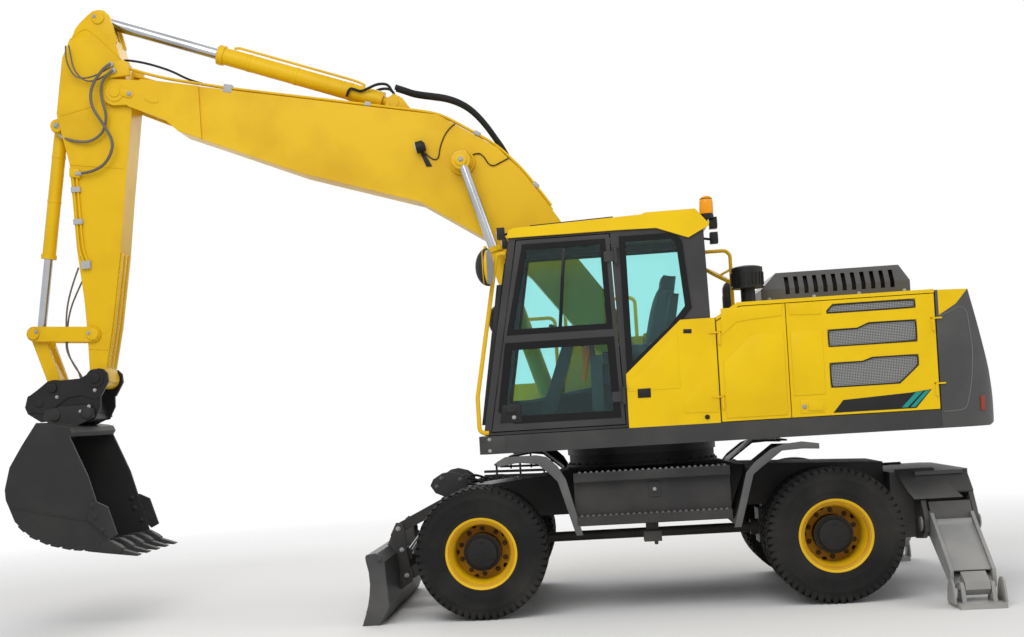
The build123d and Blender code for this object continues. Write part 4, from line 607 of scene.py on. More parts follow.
horn_outline = [
    (1.480, 1.090), (1.540, 1.136), (1.627, 1.160), (1.695, 1.150), (1.772, 1.104), (1.800, 1.050), (1.760, 0.985),
    (1.640, 0.930), (1.480, 0.900),
]
for plates_name, body, outline, inner, outer, rounding in (
    ("blade_lug_plates", "blade", lug_outline, 0.4055, 0.4155, 0.004),
    ("blade_horn_plates", "chassis", horn_outline, 0.402, 0.416, 0.005),
):
    plates = [cut(outline, side * inner, side * outer, rounding) for side, name in sides]
    settle(joined(plates), plates_name, body, frame_paint)
blade_pins = ((2.047, 0.300), (2.097, 0.700), (2.076, 0.520))
horn_pins = ((1.540, 1.090), (1.700, 1.108), (1.745, 1.040))
for side, name in sides:
    bolts("blade_pin_bolts_" + name, [at(x, side * 0.4155, z) for x, z in blade_pins], (0, side, 0), 0.013, "blade")
    bolts("horn_bolts_" + name, [at(x, side * 0.416, z) for x, z in horn_pins], (0, side, 0), 0.012, "chassis",
          guard_grey)
    bolts("blade_end_bolt_" + name, [at(2.146, side * 1.250, 0.533)], (0, side, 0), 0.020, "blade",
          blade_grey)

edge_face = [(2.317, 0.003), (2.264, 0.150), (2.250, 0.150), (2.300, 0.003)]
settle(cut(edge_face, -blade_half, blade_half, 0.003), "blade_cutting_edge", "blade", bright_steel)
edge_bolts = [at(2.286, -1.1 + 0.2 * number, 0.092) for number in range(12)]
bolts("blade_edge_bolts", edge_bolts, (1, 0, 0.36), 0.012, "blade", blade_grey)

# Blade hoses. Two black rubber hoses a side lead from the frame's nose to each blade cylinder. They
# are clipped to the frame at both ends and bend over the front axle.
hose_rubber = rubber("hose_rubber", linear(34, 34, 35), linear(52, 51, 50))
blade_hose_line = (
    (1.36, 0.30, 1.05), (1.46, 0.29, 1.10), (1.53, 0.27, 1.08), (1.58, 0.25, 1.03), (1.60, 0.235, 1.00),
)
blade_hoses = [
    tube([at(x, side * y, z - drop) for x, y, z in blade_hose_line], 0.011)
    for side, name in sides for drop in (0.0, 0.05)
]
settle(joined(blade_hoses), "blade_hoses", "chassis", hose_rubber)

# Stabilisers. Two folding legs on a housing of bent plate, with folded sheet covers over the
# hinges, pin caps at each leg's pivot, and steel ground pads held between lugs. Legs, pads and
# housing are CAD.
leg_grey = painted("leg_grey", linear(146, 146, 145), linear(164, 162, 158), 0.42)
cover_grey = painted("cover_grey", linear(74, 74, 75), linear(90, 89, 87), 0.45, dust_top=1.0)
dress(leg_grey, "stabiliser_leg_left", "stabiliser_leg_right", "stabiliser_pad_left",
      "stabiliser_pad_right")
dress(cover_grey, "stabiliser_frame")
leg_pin_y, leg_pin_z = 0.950, 0.560


def cross_plate(outline, low, high):
    """A flat plate cut to an outline in Y and Z, from one X to another from the slewing axis."""
    piece = face_of([at(low, y, z) for y, z in outline])
    bpy.ops.mesh.extrude_region_move(TRANSFORM_OT_translate={"value": (high - low, 0, 0)})
    outwards()
    return piece


def folded(rows, thickness):
    """A sheet folded across: each row gives its two X, its Y and its Z from the slewing axis."""
    bpy.ops.object.select_all(action="DESELECT")
    bpy.ops.mesh.primitive_grid_add(x_subdivisions=1, y_subdivisions=len(rows) - 1, size=1)
    sheet = bpy.context.object
    for number, (front_x, rear_x, y, z) in enumerate(rows):
        sheet.data.vertices[2 * number].co = at(front_x, y, z)
        sheet.data.vertices[2 * number + 1].co = at(rear_x, y, z)
    thick = sheet.modifiers.new("thick", "SOLIDIFY")
    thick.thickness = thickness
    thick.offset = 0
    bpy.ops.object.modifier_apply(modifier="thick")
    bpy.ops.object.mode_set(mode="EDIT")
    outwards()
    return soften(sheet, 0.003)


head_cover = (
    (-1.990, -2.296, 0.640, 0.978), (-2.035, -2.392, 0.890, 0.820), (-2.075, -2.450, 0.945, 0.752),
)
leg_cover = (
    (-2.176, -2.494, 0.962, 0.728), (-2.176, -2.494, 1.010, 0.664), (-2.176, -2.494, 1.046, 0.600),
    (-2.176, -2.494, 1.040, 0.500),
)
pad_lug = (
    (1.560, 0.030), (1.575, 0.110), (1.605, 0.170), (1.650, 0.204), (1.700, 0.208), (1.750, 0.180),
    (1.785, 0.120), (1.800, 0.030),
)
along_x = (0, math.pi / 2, 0)
for side, name in sides:
    keepers = [
        drum(at(x, side * leg_pin_y, leg_pin_z), 0.058, 0.014, 0.003, vertices=24, rotation=along_x)
        for x in (-2.556, -2.114)
    ]
    settle(joined(keepers), "leg_pin_caps_" + name, "chassis", leg_grey)
    for rows, piece_name, body in (
        (head_cover, "stabiliser_cover_", "chassis"), (leg_cover, "leg_cover_", "leg_" + name),
    ):
        sheet = folded([(front, rear, side * y, z) for front, rear, y, z in rows], 0.010)
        settle(sheet, piece_name + name, body, cover_grey)
    sheet = folded([(-2.197, -2.473, side * 1.120, 0.556), (-2.197, -2.473, side * 1.570, 0.250)], 0.012)
    boss = drum(at(-2.335, side * 1.075, 0.548), 0.052, 0.270, 0.006, vertices=40, rotation=along_x)
    settle(joined([sheet, boss]), "leg_face_" + name, "leg_" + name, leg_grey)
    pad_lugs = [
        soften(cross_plate([(side * y, z) for y, z in pad_lug], low, high), 0.004)
        for low, high in ((-2.524, -2.507), (-2.163, -2.146))
    ]
    settle(joined(pad_lugs), "pad_lugs_" + name, "pad_" + name, leg_grey)

# Turntable. The upper frame's deep skirt in satin dark grey, with the boom's foot brackets. Its
# front corners carry a slotted closing plate with two bright bolts.
skirt_grey = painted("skirt_grey", linear(60, 60, 60), linear(72, 71, 70), 0.40)
dress(skirt_grey, "turntable")
corner_plates = [
    cut(oblong(1.085, 1.236, 1.318, 1.440), side * 1.250, side * 1.2535, 0.0015) for side, name in sides
]
settle(joined(corner_plates), "skirt_corner_plates", "upper", skirt_grey)
for side, name in sides:
    skirt_bolts = [at(1.215, side * 1.252, z) for z in (1.425, 1.335)]
    bolts("skirt_bolts_" + name, skirt_bolts, (0, side, 0), 0.009, "upper")

# Counterweight. A painted casting, slightly rough, under a yellow steel cap, with a marker lamp low at
# each rear corner and thin light grey lines along its creases as painted highlights. Casting and cap are CAD.
weight_grey = painted("weight_grey", linear(74, 74, 74), linear(88, 87, 86), 0.48, grain=0.0012, edge=0.010)
body_yellow = painted("body_yellow", linear(236, 196, 12), linear(228, 186, 12), 0.30)
dress(weight_grey, "counterweight")
dress(body_yellow, "counterweight_cap")
lens_orange = painted("lens_orange", linear(240, 160, 26), linear(232, 140, 20), 0.18)
lens_red = painted("lens_red", linear(150, 58, 40), linear(120, 44, 32), 0.22)
crease_highlight_grey = painted("crease_highlight_grey", linear(116, 116, 116), linear(100, 99, 98), 0.5)
corner_x, corner_y, corner_radius = -2.392, 0.930, 0.3205
panel_loop = (
    (-2.267, 2.159), (-2.363, 2.190), (-2.426, 2.232), (-2.470, 2.212), (-2.494, 2.180), (-2.505, 2.060),
    (-2.521, 1.914), (-2.512, 1.780), (-2.498, 1.651), (-2.470, 1.530), (-2.443, 1.442), (-2.360, 1.436),
    (-2.276, 1.434),
)
# Painted highlight: thin light grey tubes along the casting's side creases, where light catches.
creases = []
for side in (1, -1):
    line = []
    for x, z in panel_loop:
        behind = max(0.0, corner_x - x)
        line.append(at(x, side * (corner_y + math.sqrt(corner_radius ** 2 - behind ** 2)), z))
    creases.append(tube(line, 0.004))
settle(joined(creases), "counterweight_crease_highlights", "upper", crease_highlight_grey)


def block(place, size, rounding, segments=2, rotation=(0, 0, 0)):
    """A block with rounded edges, given by its middle and its size."""
    bpy.ops.object.select_all(action="DESELECT")
    bpy.ops.mesh.primitive_cube_add(size=1, location=place, rotation=rotation)
    bpy.context.object.scale = size
    return soften(bpy.context.object, rounding, segments)


for side, name in sides:
    lamp = block(at(-2.578, side * 1.188, 1.482), (0.044, 0.018, 0.112), 0.005,
                 rotation=(0, 0, side * math.radians(36)))
    settle(lamp, "corner_lamp_" + name, "upper", lens_red)

# Housing and its doors. Pressed sheet in gloss yellow: each door has a panel raised from a crease,
# the rear ones three mesh grilles, and the left one a latch and a dark band with teal slashes.
dress(body_yellow, "bodywork", "door_left_front", "door_left_rear", "door_right_front",
      "door_right_rear", "engine_hood", "right_tanks")
panel_face = 1.250


def on_face(outline, side, inset, proud):
    """A plate on the housing's left or right face, let in so far and proud so far."""
    return plate(outline, side * (panel_face - inset), side * (panel_face + proud))


front_pressing = [
    (-0.640, 1.480), (-1.108, 1.480), (-1.108, 2.122), (-0.940, 2.127), (-0.866, 2.110), (-0.640, 1.920),
]
rear_pressing = [(-1.160, 1.622), (-1.160, 2.122), (-1.400, 2.118), (-1.400, 1.622)]
front_top_pressing = [
    (-0.640, 2.124), (-0.756, 2.221), (-0.880, 2.234), (-1.108, 2.248), (-1.108, 2.334), (-0.640, 2.334),
]
rear_top_pressing = [(-1.160, 2.248), (-1.400, 2.237), (-1.400, 2.334), (-1.160, 2.334)]
for panels, door in (
    ((front_pressing, front_top_pressing), "front"), ((rear_pressing, rear_top_pressing), "rear"),
):
    for side, name in sides:
        raised = [soften(on_face(panel, side, 0.002, 0.006), 0.006, segments=3) for panel in panels]
        settle(joined(raised), door + "_door_pressing_" + name, "door_" + name + "_" + door,
               body_yellow)

grille_outlines = (
    [(-1.446, 2.244), (-1.446, 2.259), (-1.493, 2.306), (-2.106, 2.306), (-2.106, 2.244)],
    [(-1.446, 1.986), (-1.446, 2.111), (-1.666, 2.111), (-1.753, 2.147), (-2.106, 2.147), (-2.106, 1.986)],
    [(-1.446, 1.672), (-1.446, 1.854), (-1.691, 1.854), (-1.766, 1.880), (-2.106, 1.880), (-2.106, 1.803),
     (-1.960, 1.672)],
)


def mesh_sheet(name, light, hole_shade, pitch):
    """Perforated sheet: round holes in a square pattern, painted near-black inside as painted shade, with rounded
    rims.
    """
    material, tree, shader = blank(name)
    place = node(tree, "TexCoord", "Object")
    spread = node(tree, "Mapping", "Vector", {"Vector": place, "Scale": (1 / pitch, 1, 1 / pitch)})
    cell = node(tree, "VectorMath", "Vector", {0: spread}, operation="FRACTION")
    centred = node(tree, "VectorMath", "Vector", {0: cell, 1: (0.5, 0.5, 0.5)}, operation="SUBTRACT")
    flat = node(tree, "VectorMath", "Vector", {0: centred, 1: (1, 0, 1)}, operation="MULTIPLY")
    away = node(tree, "VectorMath", "Value", {0: flat}, operation="LENGTH")
    rim = node(tree, "MapRange", "Result", {"Value": away, "From Min": 0.30, "From Max": 0.40})
    colour = node(tree, "Mix", "Result", {"A": hole_shade, "B": light, "Factor": rim}, data_type="RGBA")
    bump = node(tree, "Bump", "Normal", {"Height": rim, "Distance": 0.002})
    wire(tree, shader, {"Base Color": colour, "Normal": bump, "Roughness": 0.5})
    return material


# The holes' near-black is painted shade of the space behind the sheet.
grille_mesh = mesh_sheet("grille_mesh", linear(150, 150, 148), linear(26, 26, 26), 0.012)
black_trim = painted("black_trim", linear(30, 30, 31), linear(42, 42, 42), 0.45)
corner_reach, film = 0.012, 0.0008
band = [(-1.448, 1.473), (-1.528, 1.568), (-2.030, 1.594), (-2.195, 1.611), (-2.072, 1.473)]
slashes = (
    [(-1.962, 1.482), (-2.006, 1.482), (-2.130, 1.601), (-2.075, 1.596)],
    [(-2.028, 1.482), (-2.064, 1.482), (-2.184, 1.606), (-2.146, 1.602)],
)
teal_film = painted("teal_film", linear(36, 150, 140), linear(30, 140, 132), 0.35)
latch_outline = [(-1.205, 1.482), (-1.205, 1.586), (-1.390, 1.582), (-1.390, 1.482)]
handle_outline = [(-1.265, 1.500), (-1.262, 1.566), (-1.371, 1.566), (-1.374, 1.496)]
for side, name in sides:
    door = "door_" + name + "_rear"
    sheets = []
    frames = []
    for outline in grille_outlines:
        sheets.append(on_face(outline, side, 0.013, -0.006))
        loop = [at(x, side * (panel_face - 0.001), z) for x, z in outline]
        corners = []
        for number, corner in enumerate(loop):
            for neighbour in (loop[number - 1], loop[(number + 1) % len(loop)]):
                corners.append(corner + (neighbour - corner).normalized() * corner_reach)
        frames.append(tube(corners + corners[:1], 0.0045, resolution=2))
    settle(joined(sheets), "grille_sheets_" + name, door, grille_mesh)
    settle(joined(frames), "grille_frames_" + name, door, black_trim)
    settle(on_face(band, side, 0, film), "door_band_" + name, door, black_trim)
    films = [on_face(slash, side, -film, 0.0014) for slash in slashes]
    settle(joined(films), "door_slashes_" + name, door, teal_film)
    tray = soften(on_face(latch_outline, side, 0, 0.004), 0.002)
    pull = soften(on_face(handle_outline, side, -0.004, 0.012), 0.004)
    settle(joined([tray, pull]), "door_latch_" + name, door, body_yellow)
    bolts("door_lock_" + name, [at(-1.232, side * (panel_face + 0.004), 1.534)], (0, side, 0), 0.011, door)

# Panel beside the cab. The same yellow sheet, with a raised corner cover held by one black bolt,
# a small black vent near its top and a square black lock.
corner_cover = [(-0.580, 1.880), (-0.318, 1.644), (-0.319, 1.539), (-0.585, 1.533)]
corner_cover = cut(corner_cover, 1.248, 1.2545, 0.004, segments=3)
settle(corner_cover, "corner_cover", "upper", body_yellow)
upper_pressing = [(0.104, 1.790), (-0.300, 2.170), (-0.300, 1.735), (0.104, 1.735)]
upper_pressing = cut(upper_pressing, 1.248, 1.2530, 0.004, segments=3)
small_vent = cut([(-0.346, 2.194), (-0.410, 2.190), (-0.408, 2.157), (-0.344, 2.161)], 1.249, 1.253, 0.002)
settle(upper_pressing, "panel_pressing", "upper", body_yellow)
panel_lock = cut([(0.034, 1.751), (-0.068, 1.752), (-0.066, 1.680), (0.035, 1.680)], 1.249, 1.257, 0.004)
settle(joined([small_vent, panel_lock]), "panel_vent_and_lock", "upper", black_trim)
bolts("corner_cover_bolt", [at(-0.490, 1.2545, 1.500)], (0, 1, 0), 0.012, "upper", black_trim)

# Right-hand tanks. Fuel and oil tank and tool box in the body's yellow, with black filler caps,
# a non-slip tread on the front box and a black seam band between the tanks.
fillers = []
for x, z in ((0.30, 2.240), (-0.35, 2.262)):
    fillers.append(drum(at(x, -0.80, z + 0.020), 0.070, 0.040, 0.008, 3, rotation=(0, 0, 0)))
    fillers.append(block(at(x, -0.80, z + 0.048), (0.100, 0.018, 0.020), 0.006))
settle(joined(fillers), "filler_caps", "upper", black_trim)
bpy.ops.object.select_all(action="DESELECT")
bpy.ops.mesh.primitive_cube_add(size=1, location=at(0.72, -1.05, 1.882))
tread_bar = bpy.context.object
tread_bar.scale = (0.020, 0.30, 0.006)
bpy.ops.object.transform_apply(location=False, rotation=False, scale=True)
settle(soften(arrayed(tread_bar, 12, 0.042), 0.002), "tank_step_tread", "upper", black_trim)

# Engine hood cover. A folded louvred box in dark grey on the yellow lid, with a bent flange and
# four bright bolts along each side. Lid and cover are CAD.
cover_paint = painted("cover_paint", linear(84, 84, 85), linear(94, 94, 93), 0.38)
dress(cover_paint, "hood_cover")
# Painted shade: a black block under the louvred cover, so its slots read dark.
slot_shade_block = cut([(-1.070, 2.398), (-1.200, 2.610), (-2.140, 2.610), (-2.195, 2.398)], -0.400, 0.400, 0.010)
settle(slot_shade_block, "hood_cover_slot_shade", "engine_hood", black_trim)
for side, name in sides:
    row = [at(-1.10 - 0.36 * number, side * 0.541, 2.424) for number in range(4)]
    bolts("cover_bolts_" + name, row, (0, side, 0), 0.010, "engine_hood")

# Air intake and exhaust. The pre-cleaner is a black plastic bowl with a ribbed skirt on a rubber
# elbow, and the tail pipe is rough dark steel.
dress(black_trim, "air_intake")
cleaner = (-0.912, 0.720)
bpy.ops.object.select_all(action="DESELECT")
bpy.ops.mesh.primitive_cube_add(size=1, location=(0.127, 0, 0))
fin = bpy.context.object
fin.scale = (0.012, 0.006, 0.100)
bpy.ops.object.transform_apply(location=True, rotation=False, scale=True)
ribs = copies(fin, [(at(*cleaner, 2.588), (0, 0, math.tau * number / 24)) for number in range(24)])
bpy.data.objects.remove(fin)
bpy.ops.mesh.primitive_uv_sphere_add(segments=32, ring_count=16, radius=0.126, location=at(*cleaner, 2.672))
dome = bpy.context.object
dome.scale = (1, 1, 0.22)
bpy.ops.object.shade_smooth()
ribs.append(dome)
settle(joined(ribs), "pre_cleaner_ribs", "upper", black_trim)

# Cab shell and door. Welded tube and sheet in dark grey-brown satin, with flush panes behind black
# borders, a latch panel at the door's lower front corner and a sliding pane's upright. The
# shell, the door and its inner grab rail are CAD.
cab_grey = painted("cab_grey", linear(58, 57, 58), linear(68, 66, 66), 0.38)
dress(cab_grey, "cab_shell", "cab_door")
dress(body_yellow, "cab_roof")
border_black = painted("border_black", linear(13, 14, 16), linear(19, 19, 21), 0.22)


def border(outline, low, high, width):
    """A flat frame of an even width just inside an outline."""
    piece = face_of([at(x, low, z) for x, z in outline])
    bpy.ops.mesh.inset(thickness=width, depth=0)
    bpy.ops.mesh.delete(type="FACE")
    bpy.ops.mesh.select_all(action="SELECT")
    bpy.ops.mesh.extrude_region_move(TRANSFORM_OT_translate={"value": (0, high - low, 0)})
    outwards()
    return piece


door_borders = [
    border([(1.030, 2.234), (0.866, 2.944), (0.214, 2.944), (0.196, 2.234)], 1.2395, 1.2420, 0.046),
    border([(1.132, 1.640), (1.046, 2.176), (0.190, 2.176), (0.170, 1.536), (1.010, 1.536)],
           1.2395, 1.2420, 0.060),
]
upright = cut([(0.520, 2.925), (0.594, 2.250), (0.622, 2.250), (0.548, 2.925)], 1.222, 1.236, 0.003)
settle(joined(door_borders + [upright]), "door_pane_borders", "cab_door", border_black)
quarter_border = border(
    [(0.108, 2.952), (-0.322, 2.952), (-0.380, 2.882), (-0.422, 2.358), (-0.282, 2.193), (0.108, 1.856)],
    1.2344, 1.2370, 0.050,
)
settle(quarter_border, "quarter_pane_border", "upper", border_black)
right_border = border(
    [(1.114, 1.674), (0.892, 2.927), (-0.446, 2.927), (-0.508, 1.874), (0.900, 1.674)],
    0.4210, 0.4236, 0.050,
)
settle(right_border, "right_pane_border", "upper", border_black)

latch_panel = cut([(1.120, 1.548), (1.096, 1.690), (0.950, 1.690), (0.950, 1.548)], 1.2395, 1.2470, 0.004)
latch_slot = cut([(1.072, 1.618), (1.066, 1.654), (0.985, 1.654), (0.985, 1.618)], 1.2470, 1.2560, 0.006)
settle(joined([latch_panel, latch_slot]), "cab_door_latch", "cab_door", black_trim)
bolts("cab_door_lock", [at(1.010, 1.2470, 1.588)], (0, 1, 0), 0.010, "cab_door")

# Front window. One flat sloping pane let into the shell, in a black printed border, with a wiper
# parked up its left edge on a bent steel arm. The pane is CAD.
front_low_corner, front_high_corner = (1.250, 1.500), (0.968, 3.000)
front_edges, front_heights = (0.500, 1.158), (1.608, 2.932)
border_back, border_face = 0.0066, 0.009


def on_front(z, proud):
    """A place on the cab's sloping front at a height, so far proud of the sheet."""
    share = (z - front_low_corner[1]) / (front_high_corner[1] - front_low_corner[1])
    x = front_low_corner[0] + (front_high_corner[0] - front_low_corner[0]) * share
    return x + 0.983 * proud, z + 0.185 * proud


def before_front(*steps):
    """Places before the front, each from its Y, its height and how far it stands proud."""
    places = [(y, *on_front(z, proud)) for y, z, proud in steps]
    return [at(x, y, z) for y, x, z in places]


front_frame = []
for low_z, high_z, low_y, high_y in (
    (front_heights[0], 1.660, *front_edges), (2.880, front_heights[1], *front_edges),
    (*front_heights, front_edges[0], 0.545), (*front_heights, 1.113, front_edges[1]),
):
    strip = [(low_z, border_back), (high_z, border_back), (high_z, border_face), (low_z, border_face)]
    front_frame.append(plate([on_front(*corner) for corner in strip], low_y, high_y))
settle(joined(front_frame), "front_pane_border", "upper", border_black)
wiper_arm = tube([*before_front((1.02, 1.70, 0.030)), at(on_front(2.2, 0.034)[0], 1.04, 2.2),
                  *before_front((1.06, 2.62, 0.022))], 0.007)
wiper_blade = tube([*before_front((1.07, 2.10, 0.016)), at(on_front(2.46, 0.018)[0], 1.07, 2.46),
                    *before_front((1.07, 2.82, 0.016))], 0.006)
settle(joined([wiper_arm, wiper_blade]), "wiper", "upper", black_trim)


# Glass. Clear toughened safety glass with a faint blue-green cast, in single flat panes glued into
# the shell and the door. The panes are CAD.
def pane(name, tint):
    """Clear glass: light passes through with a tint, and the surface is mirror-smooth."""
    material, tree, shader = blank(name)
    smear = node(tree, "TexNoise", "Fac", {"Vector": node(tree, "TexCoord", "Object"), "Scale": 3.0})
    thin = node(tree, "MapRange", "Result", {"Value": smear, "To Min": 0.0, "To Max": 0.04})
    wire(tree, shader, {"Base Color": tint, "Transmission Weight": 1.0, "IOR": 1.3, "Roughness": thin})
    return material


clear_glass = pane("clear_glass", (0.56, 0.89, 0.88, 1))
dress(clear_glass, "cab_glass", "cab_door_glass")

# Cab inside. Moulded black plastic stands and column on the shell's floor, and a sprung seat in
# black cloth with a crowned cushion, a high back and two padded arm rests.
inside_plastic = painted("inside_plastic", linear(62, 63, 66), linear(76, 76, 78), 0.6, grain=0.001)
dress(inside_plastic, "cab_interior")
lever_orange = painted("lever_orange", linear(222, 104, 44), linear(204, 92, 40), 0.4)
lever_outline = [
    (0.340, 2.120), (0.372, 2.136), (0.432, 2.128), (0.450, 2.074), (0.438, 1.985), (0.462, 1.850), (0.436, 1.838),
    (0.404, 1.975), (0.384, 2.040),
]
lever_bar = cut(lever_outline, 1.060, 1.084, 0.008, segments=3)
settle(lever_bar, "lock_lever", "upper", lever_orange)


def cloth(name, colour, thread_pitch):
    """Woven seat cloth: two crossing sets of threads with a soft sheen."""
    material, tree, shader = blank(name)
    place = node(tree, "TexCoord", "Object")
    warp, weft = [
        node(tree, "TexWave", "Fac", {"Vector": place, "Scale": 1 / thread_pitch}, bands_direction=run)
        for run in ("Y", "Z")
    ]
    weave = node(tree, "Math", "Value", {0: warp, 1: weft}, operation="MULTIPLY")
    shaded = [value * 0.6 for value in colour[:3]] + [1]
    tone = node(tree, "Mix", "Result", {"A": shaded, "B": colour, "Factor": weave}, data_type="RGBA")
    bump = node(tree, "Bump", "Normal", {"Height": weave, "Distance": 0.0012})
    wire(tree, shader, {"Base Color": tone, "Normal": bump, "Roughness": 0.9, "Sheen Weight": 0.25})
    return material


seat_cloth = cloth("seat_cloth", linear(88, 88, 94), 0.02)


def cushion(name, size, place, tilt, crown):
    """A stuffed pad: swollen between its edges, pulled in round its sides, with a sewn welt."""
    bpy.ops.object.select_all(action="DESELECT")
    bpy.ops.mesh.primitive_cube_add(size=1)
    pad = bpy.context.object
    pad.scale = size
    bpy.ops.object.transform_apply(location=False, rotation=False, scale=True)
    bpy.ops.object.mode_set(mode="EDIT")
    bpy.ops.mesh.subdivide(number_cuts=7)
    bpy.ops.object.mode_set(mode="OBJECT")
    for vertex in pad.data.vertices:
        across = 2 * vertex.co.x / size[0]
        along = 2 * vertex.co.y / size[1]
        height = 2 * vertex.co.z / size[2]
        if height > 0.9:
            vertex.co.z += crown * (1 - across ** 4) * (1 - along ** 4)
            groove = abs(abs(along) - 0.5) < 0.08
            vertex.co.z -= 0.35 * crown if groove else 0
        pull = 1 - 0.05 * (1 - height ** 2)
        vertex.co.x *= pull
        vertex.co.y *= pull
    smooth = pad.modifiers.new("smooth", "SUBSURF")
    smooth.levels = 2
    smooth.render_levels = 2
    bpy.ops.object.modifier_apply(modifier="smooth")
    bpy.ops.object.shade_smooth()
    pad.location = place
    pad.rotation_euler = (0, tilt, 0)
    settle(pad, name, "upper", seat_cloth)
    return pad


seat_y = 0.830
cushion("seat_cushion", (0.54, 0.53, 0.15), at(0.085, seat_y, 1.885), 0, 0.030)
cushion("seat_back", (0.66, 0.50, 0.12), at(-0.172, seat_y, 2.215), math.radians(77), 0.030)
cushion("seat_head_rest", (0.17, 0.30, 0.10), at(-0.268, seat_y, 2.560), math.radians(80), 0.020)
for side, name in sides:
    cushion("arm_rest_" + name, (0.44, 0.11, 0.07), at(0.015, seat_y + side * 0.290, 2.058), 0, 0.012)

# Cab roof. Pressed yellow cap with turned-down rear corners, a framed glass hatch on top, and
# folded lamps at its rear and front corners.
hatch = block(at(0.47, 0.837, 3.098), (0.66, 0.60, 0.030), 0.010, 3, rotation=(0, math.radians(1.95), 0))
settle(hatch, "roof_hatch", "upper", black_trim)
lamp_housings = []
lamp_glasses = []
for x, y, z, facing in (
    (-0.655, 0.86, 3.045, -1), (-0.655, 0.86, 2.925, -1), (1.030, 1.18, 3.045, 1), (1.030, 0.50, 3.045, 1),
):
    place = at(x, y, z)
    lamp_housings.append(block(place, (0.060, 0.095, 0.090), 0.014, 3))
    stem = ((0.02, 0.01), (0.07, 0.0), (0.10, -0.005))
    lamp_housings.append(tube([place - Vector((facing * back, 0, down)) for back, down in stem], 0.010))
    lamp_glasses.append(drum(place + Vector((facing * 0.031, 0, 0)), 0.036, 0.006, 0.002, rotation=along_x))
settle(joined(lamp_housings), "roof_lamp_housings", "upper", black_trim)
lamp_glass = painted("lamp_glass", linear(214, 220, 224), linear(196, 204, 210), 0.10)
settle(joined(lamp_glasses), "roof_lamp_glasses", "upper", lamp_glass)

# Beacon. An orange moulded lens with a domed top, screwed onto a black foot on a small shelf behind
# the roof. Foot and shelf are CAD.
dress(black_trim, "roof_lamps")
bpy.ops.object.select_all(action="DESELECT")
bpy.ops.mesh.primitive_cylinder_add(vertices=48, radius=0.055, depth=0.085, location=at(-0.606, 0.900, 3.160))
lens = bpy.context.object
opened(lens, (0, 0, 1))
for rise, shrink in ((0.024, 0.95), (0.018, 0.88), (0.012, 0.72), (0.005, 0.45)):
    bpy.ops.mesh.extrude_region_move(TRANSFORM_OT_translate={"value": (0, 0, rise)})
    bpy.ops.transform.resize(value=(shrink, shrink, 1))
bpy.ops.object.mode_set(mode="OBJECT")
soften(lens, 0.003)
settle(lens, "beacon_lens", "upper", lens_orange)

# Handrails and mirrors. Bent steel tube in body yellow, welded to small feet. The mirrors are black
# shells on thin arms with a convex glass behind. Rails and shells are CAD.
rail_yellow = painted("rail_yellow", linear(226, 180, 24), linear(212, 168, 26), 0.35)
dress(rail_yellow, "handrails")
# Painted reflection: the mirror glass is pale grey, standing in for the pale surround it reflects, with a little
# real gloss.
mirror_painted_reflection = painted("mirror_painted_reflection", linear(190, 193, 195), linear(178, 182, 185), 0.30, grain=0.00005)
mirror_painted_reflection.node_tree.nodes["Principled BSDF"].inputs["Metallic"].default_value = 0.3
left_rail_y, right_rail_y = 1.245, -1.180
for name, place in (
    ("left", at(1.155, left_rail_y + 0.155, 2.768)), ("right", at(1.262, right_rail_y - 0.150, 2.520)),
):
    bpy.ops.object.select_all(action="DESELECT")
    shell_place = place - Vector((0.022, 0, 0))
    bpy.ops.mesh.primitive_uv_sphere_add(segments=40, ring_count=20, radius=1, location=shell_place)
    shell = bpy.context.object
    shell.scale = (0.100, 0.092, 0.148)
    for vertex in shell.data.vertices:
        vertex.co.x = max(vertex.co.x, 0.0)
    facing = math.radians(-18 if name == "left" else 18)
    shell.rotation_euler = (0, 0, facing)
    bpy.ops.object.shade_smooth_by_angle(angle=math.radians(40))
    settle(shell, "mirror_shell_" + name, "upper", black_trim)
    bpy.ops.mesh.primitive_cylinder_add(
        vertices=48, radius=1, depth=1, location=place - Vector((0.030, 0.010 * math.sin(facing), 0)),
        rotation=(0, math.pi / 2, facing),
    )
    glass = bpy.context.object
    glass.scale = (0.136, 0.082, 0.012)
    soften(glass, 0.001, segments=1)
    settle(glass, "mirror_painted_reflection_" + name, "upper", mirror_painted_reflection)
guard = cut([(1.268, 1.540), (1.085, 2.640), (1.045, 2.640), (1.225, 1.540)], 1.214, 1.220, 0.002)
settle(guard, "corner_guard", "upper", black_trim)

# Boom. Welded box beam in yellow, with clamped steel pipes along its top edges, valve blocks by
# the arm's pivot, keeper bars on the pin and a work lamp on its left side. The beam is CAD.
boom_yellow = painted("boom_yellow", linear(228, 184, 18), linear(214, 168, 18), 0.36)
dress(boom_yellow, "boom", "boom_barrels", "arm_barrel", "arm", "bucket_barrel", "guide_links", "h_link")
boom_pipe_line = [
    (4.330, 4.872), (4.240, 4.850), (4.150, 4.812), (3.920, 4.737), (3.720, 4.690), (3.400, 4.619),
    (2.762, 4.491), (2.300, 4.398), (1.875, 4.313), (1.620, 4.260), (1.500, 4.212), (1.250, 4.050),
    (1.080, 3.938), (0.950, 3.802), (0.828, 3.664), (0.640, 3.382),
]
valve_outline = [(4.250, 4.790), (4.250, 4.900), (4.300, 4.926), (4.420, 4.926), (4.430, 4.780)]
keeper_outline = [
    (4.232, 4.628), (4.243, 4.604), (4.268, 4.592), (4.330, 4.612), (4.360, 4.625), (4.366, 4.690),
    (4.330, 4.684), (4.268, 4.668), (4.243, 4.654),
]
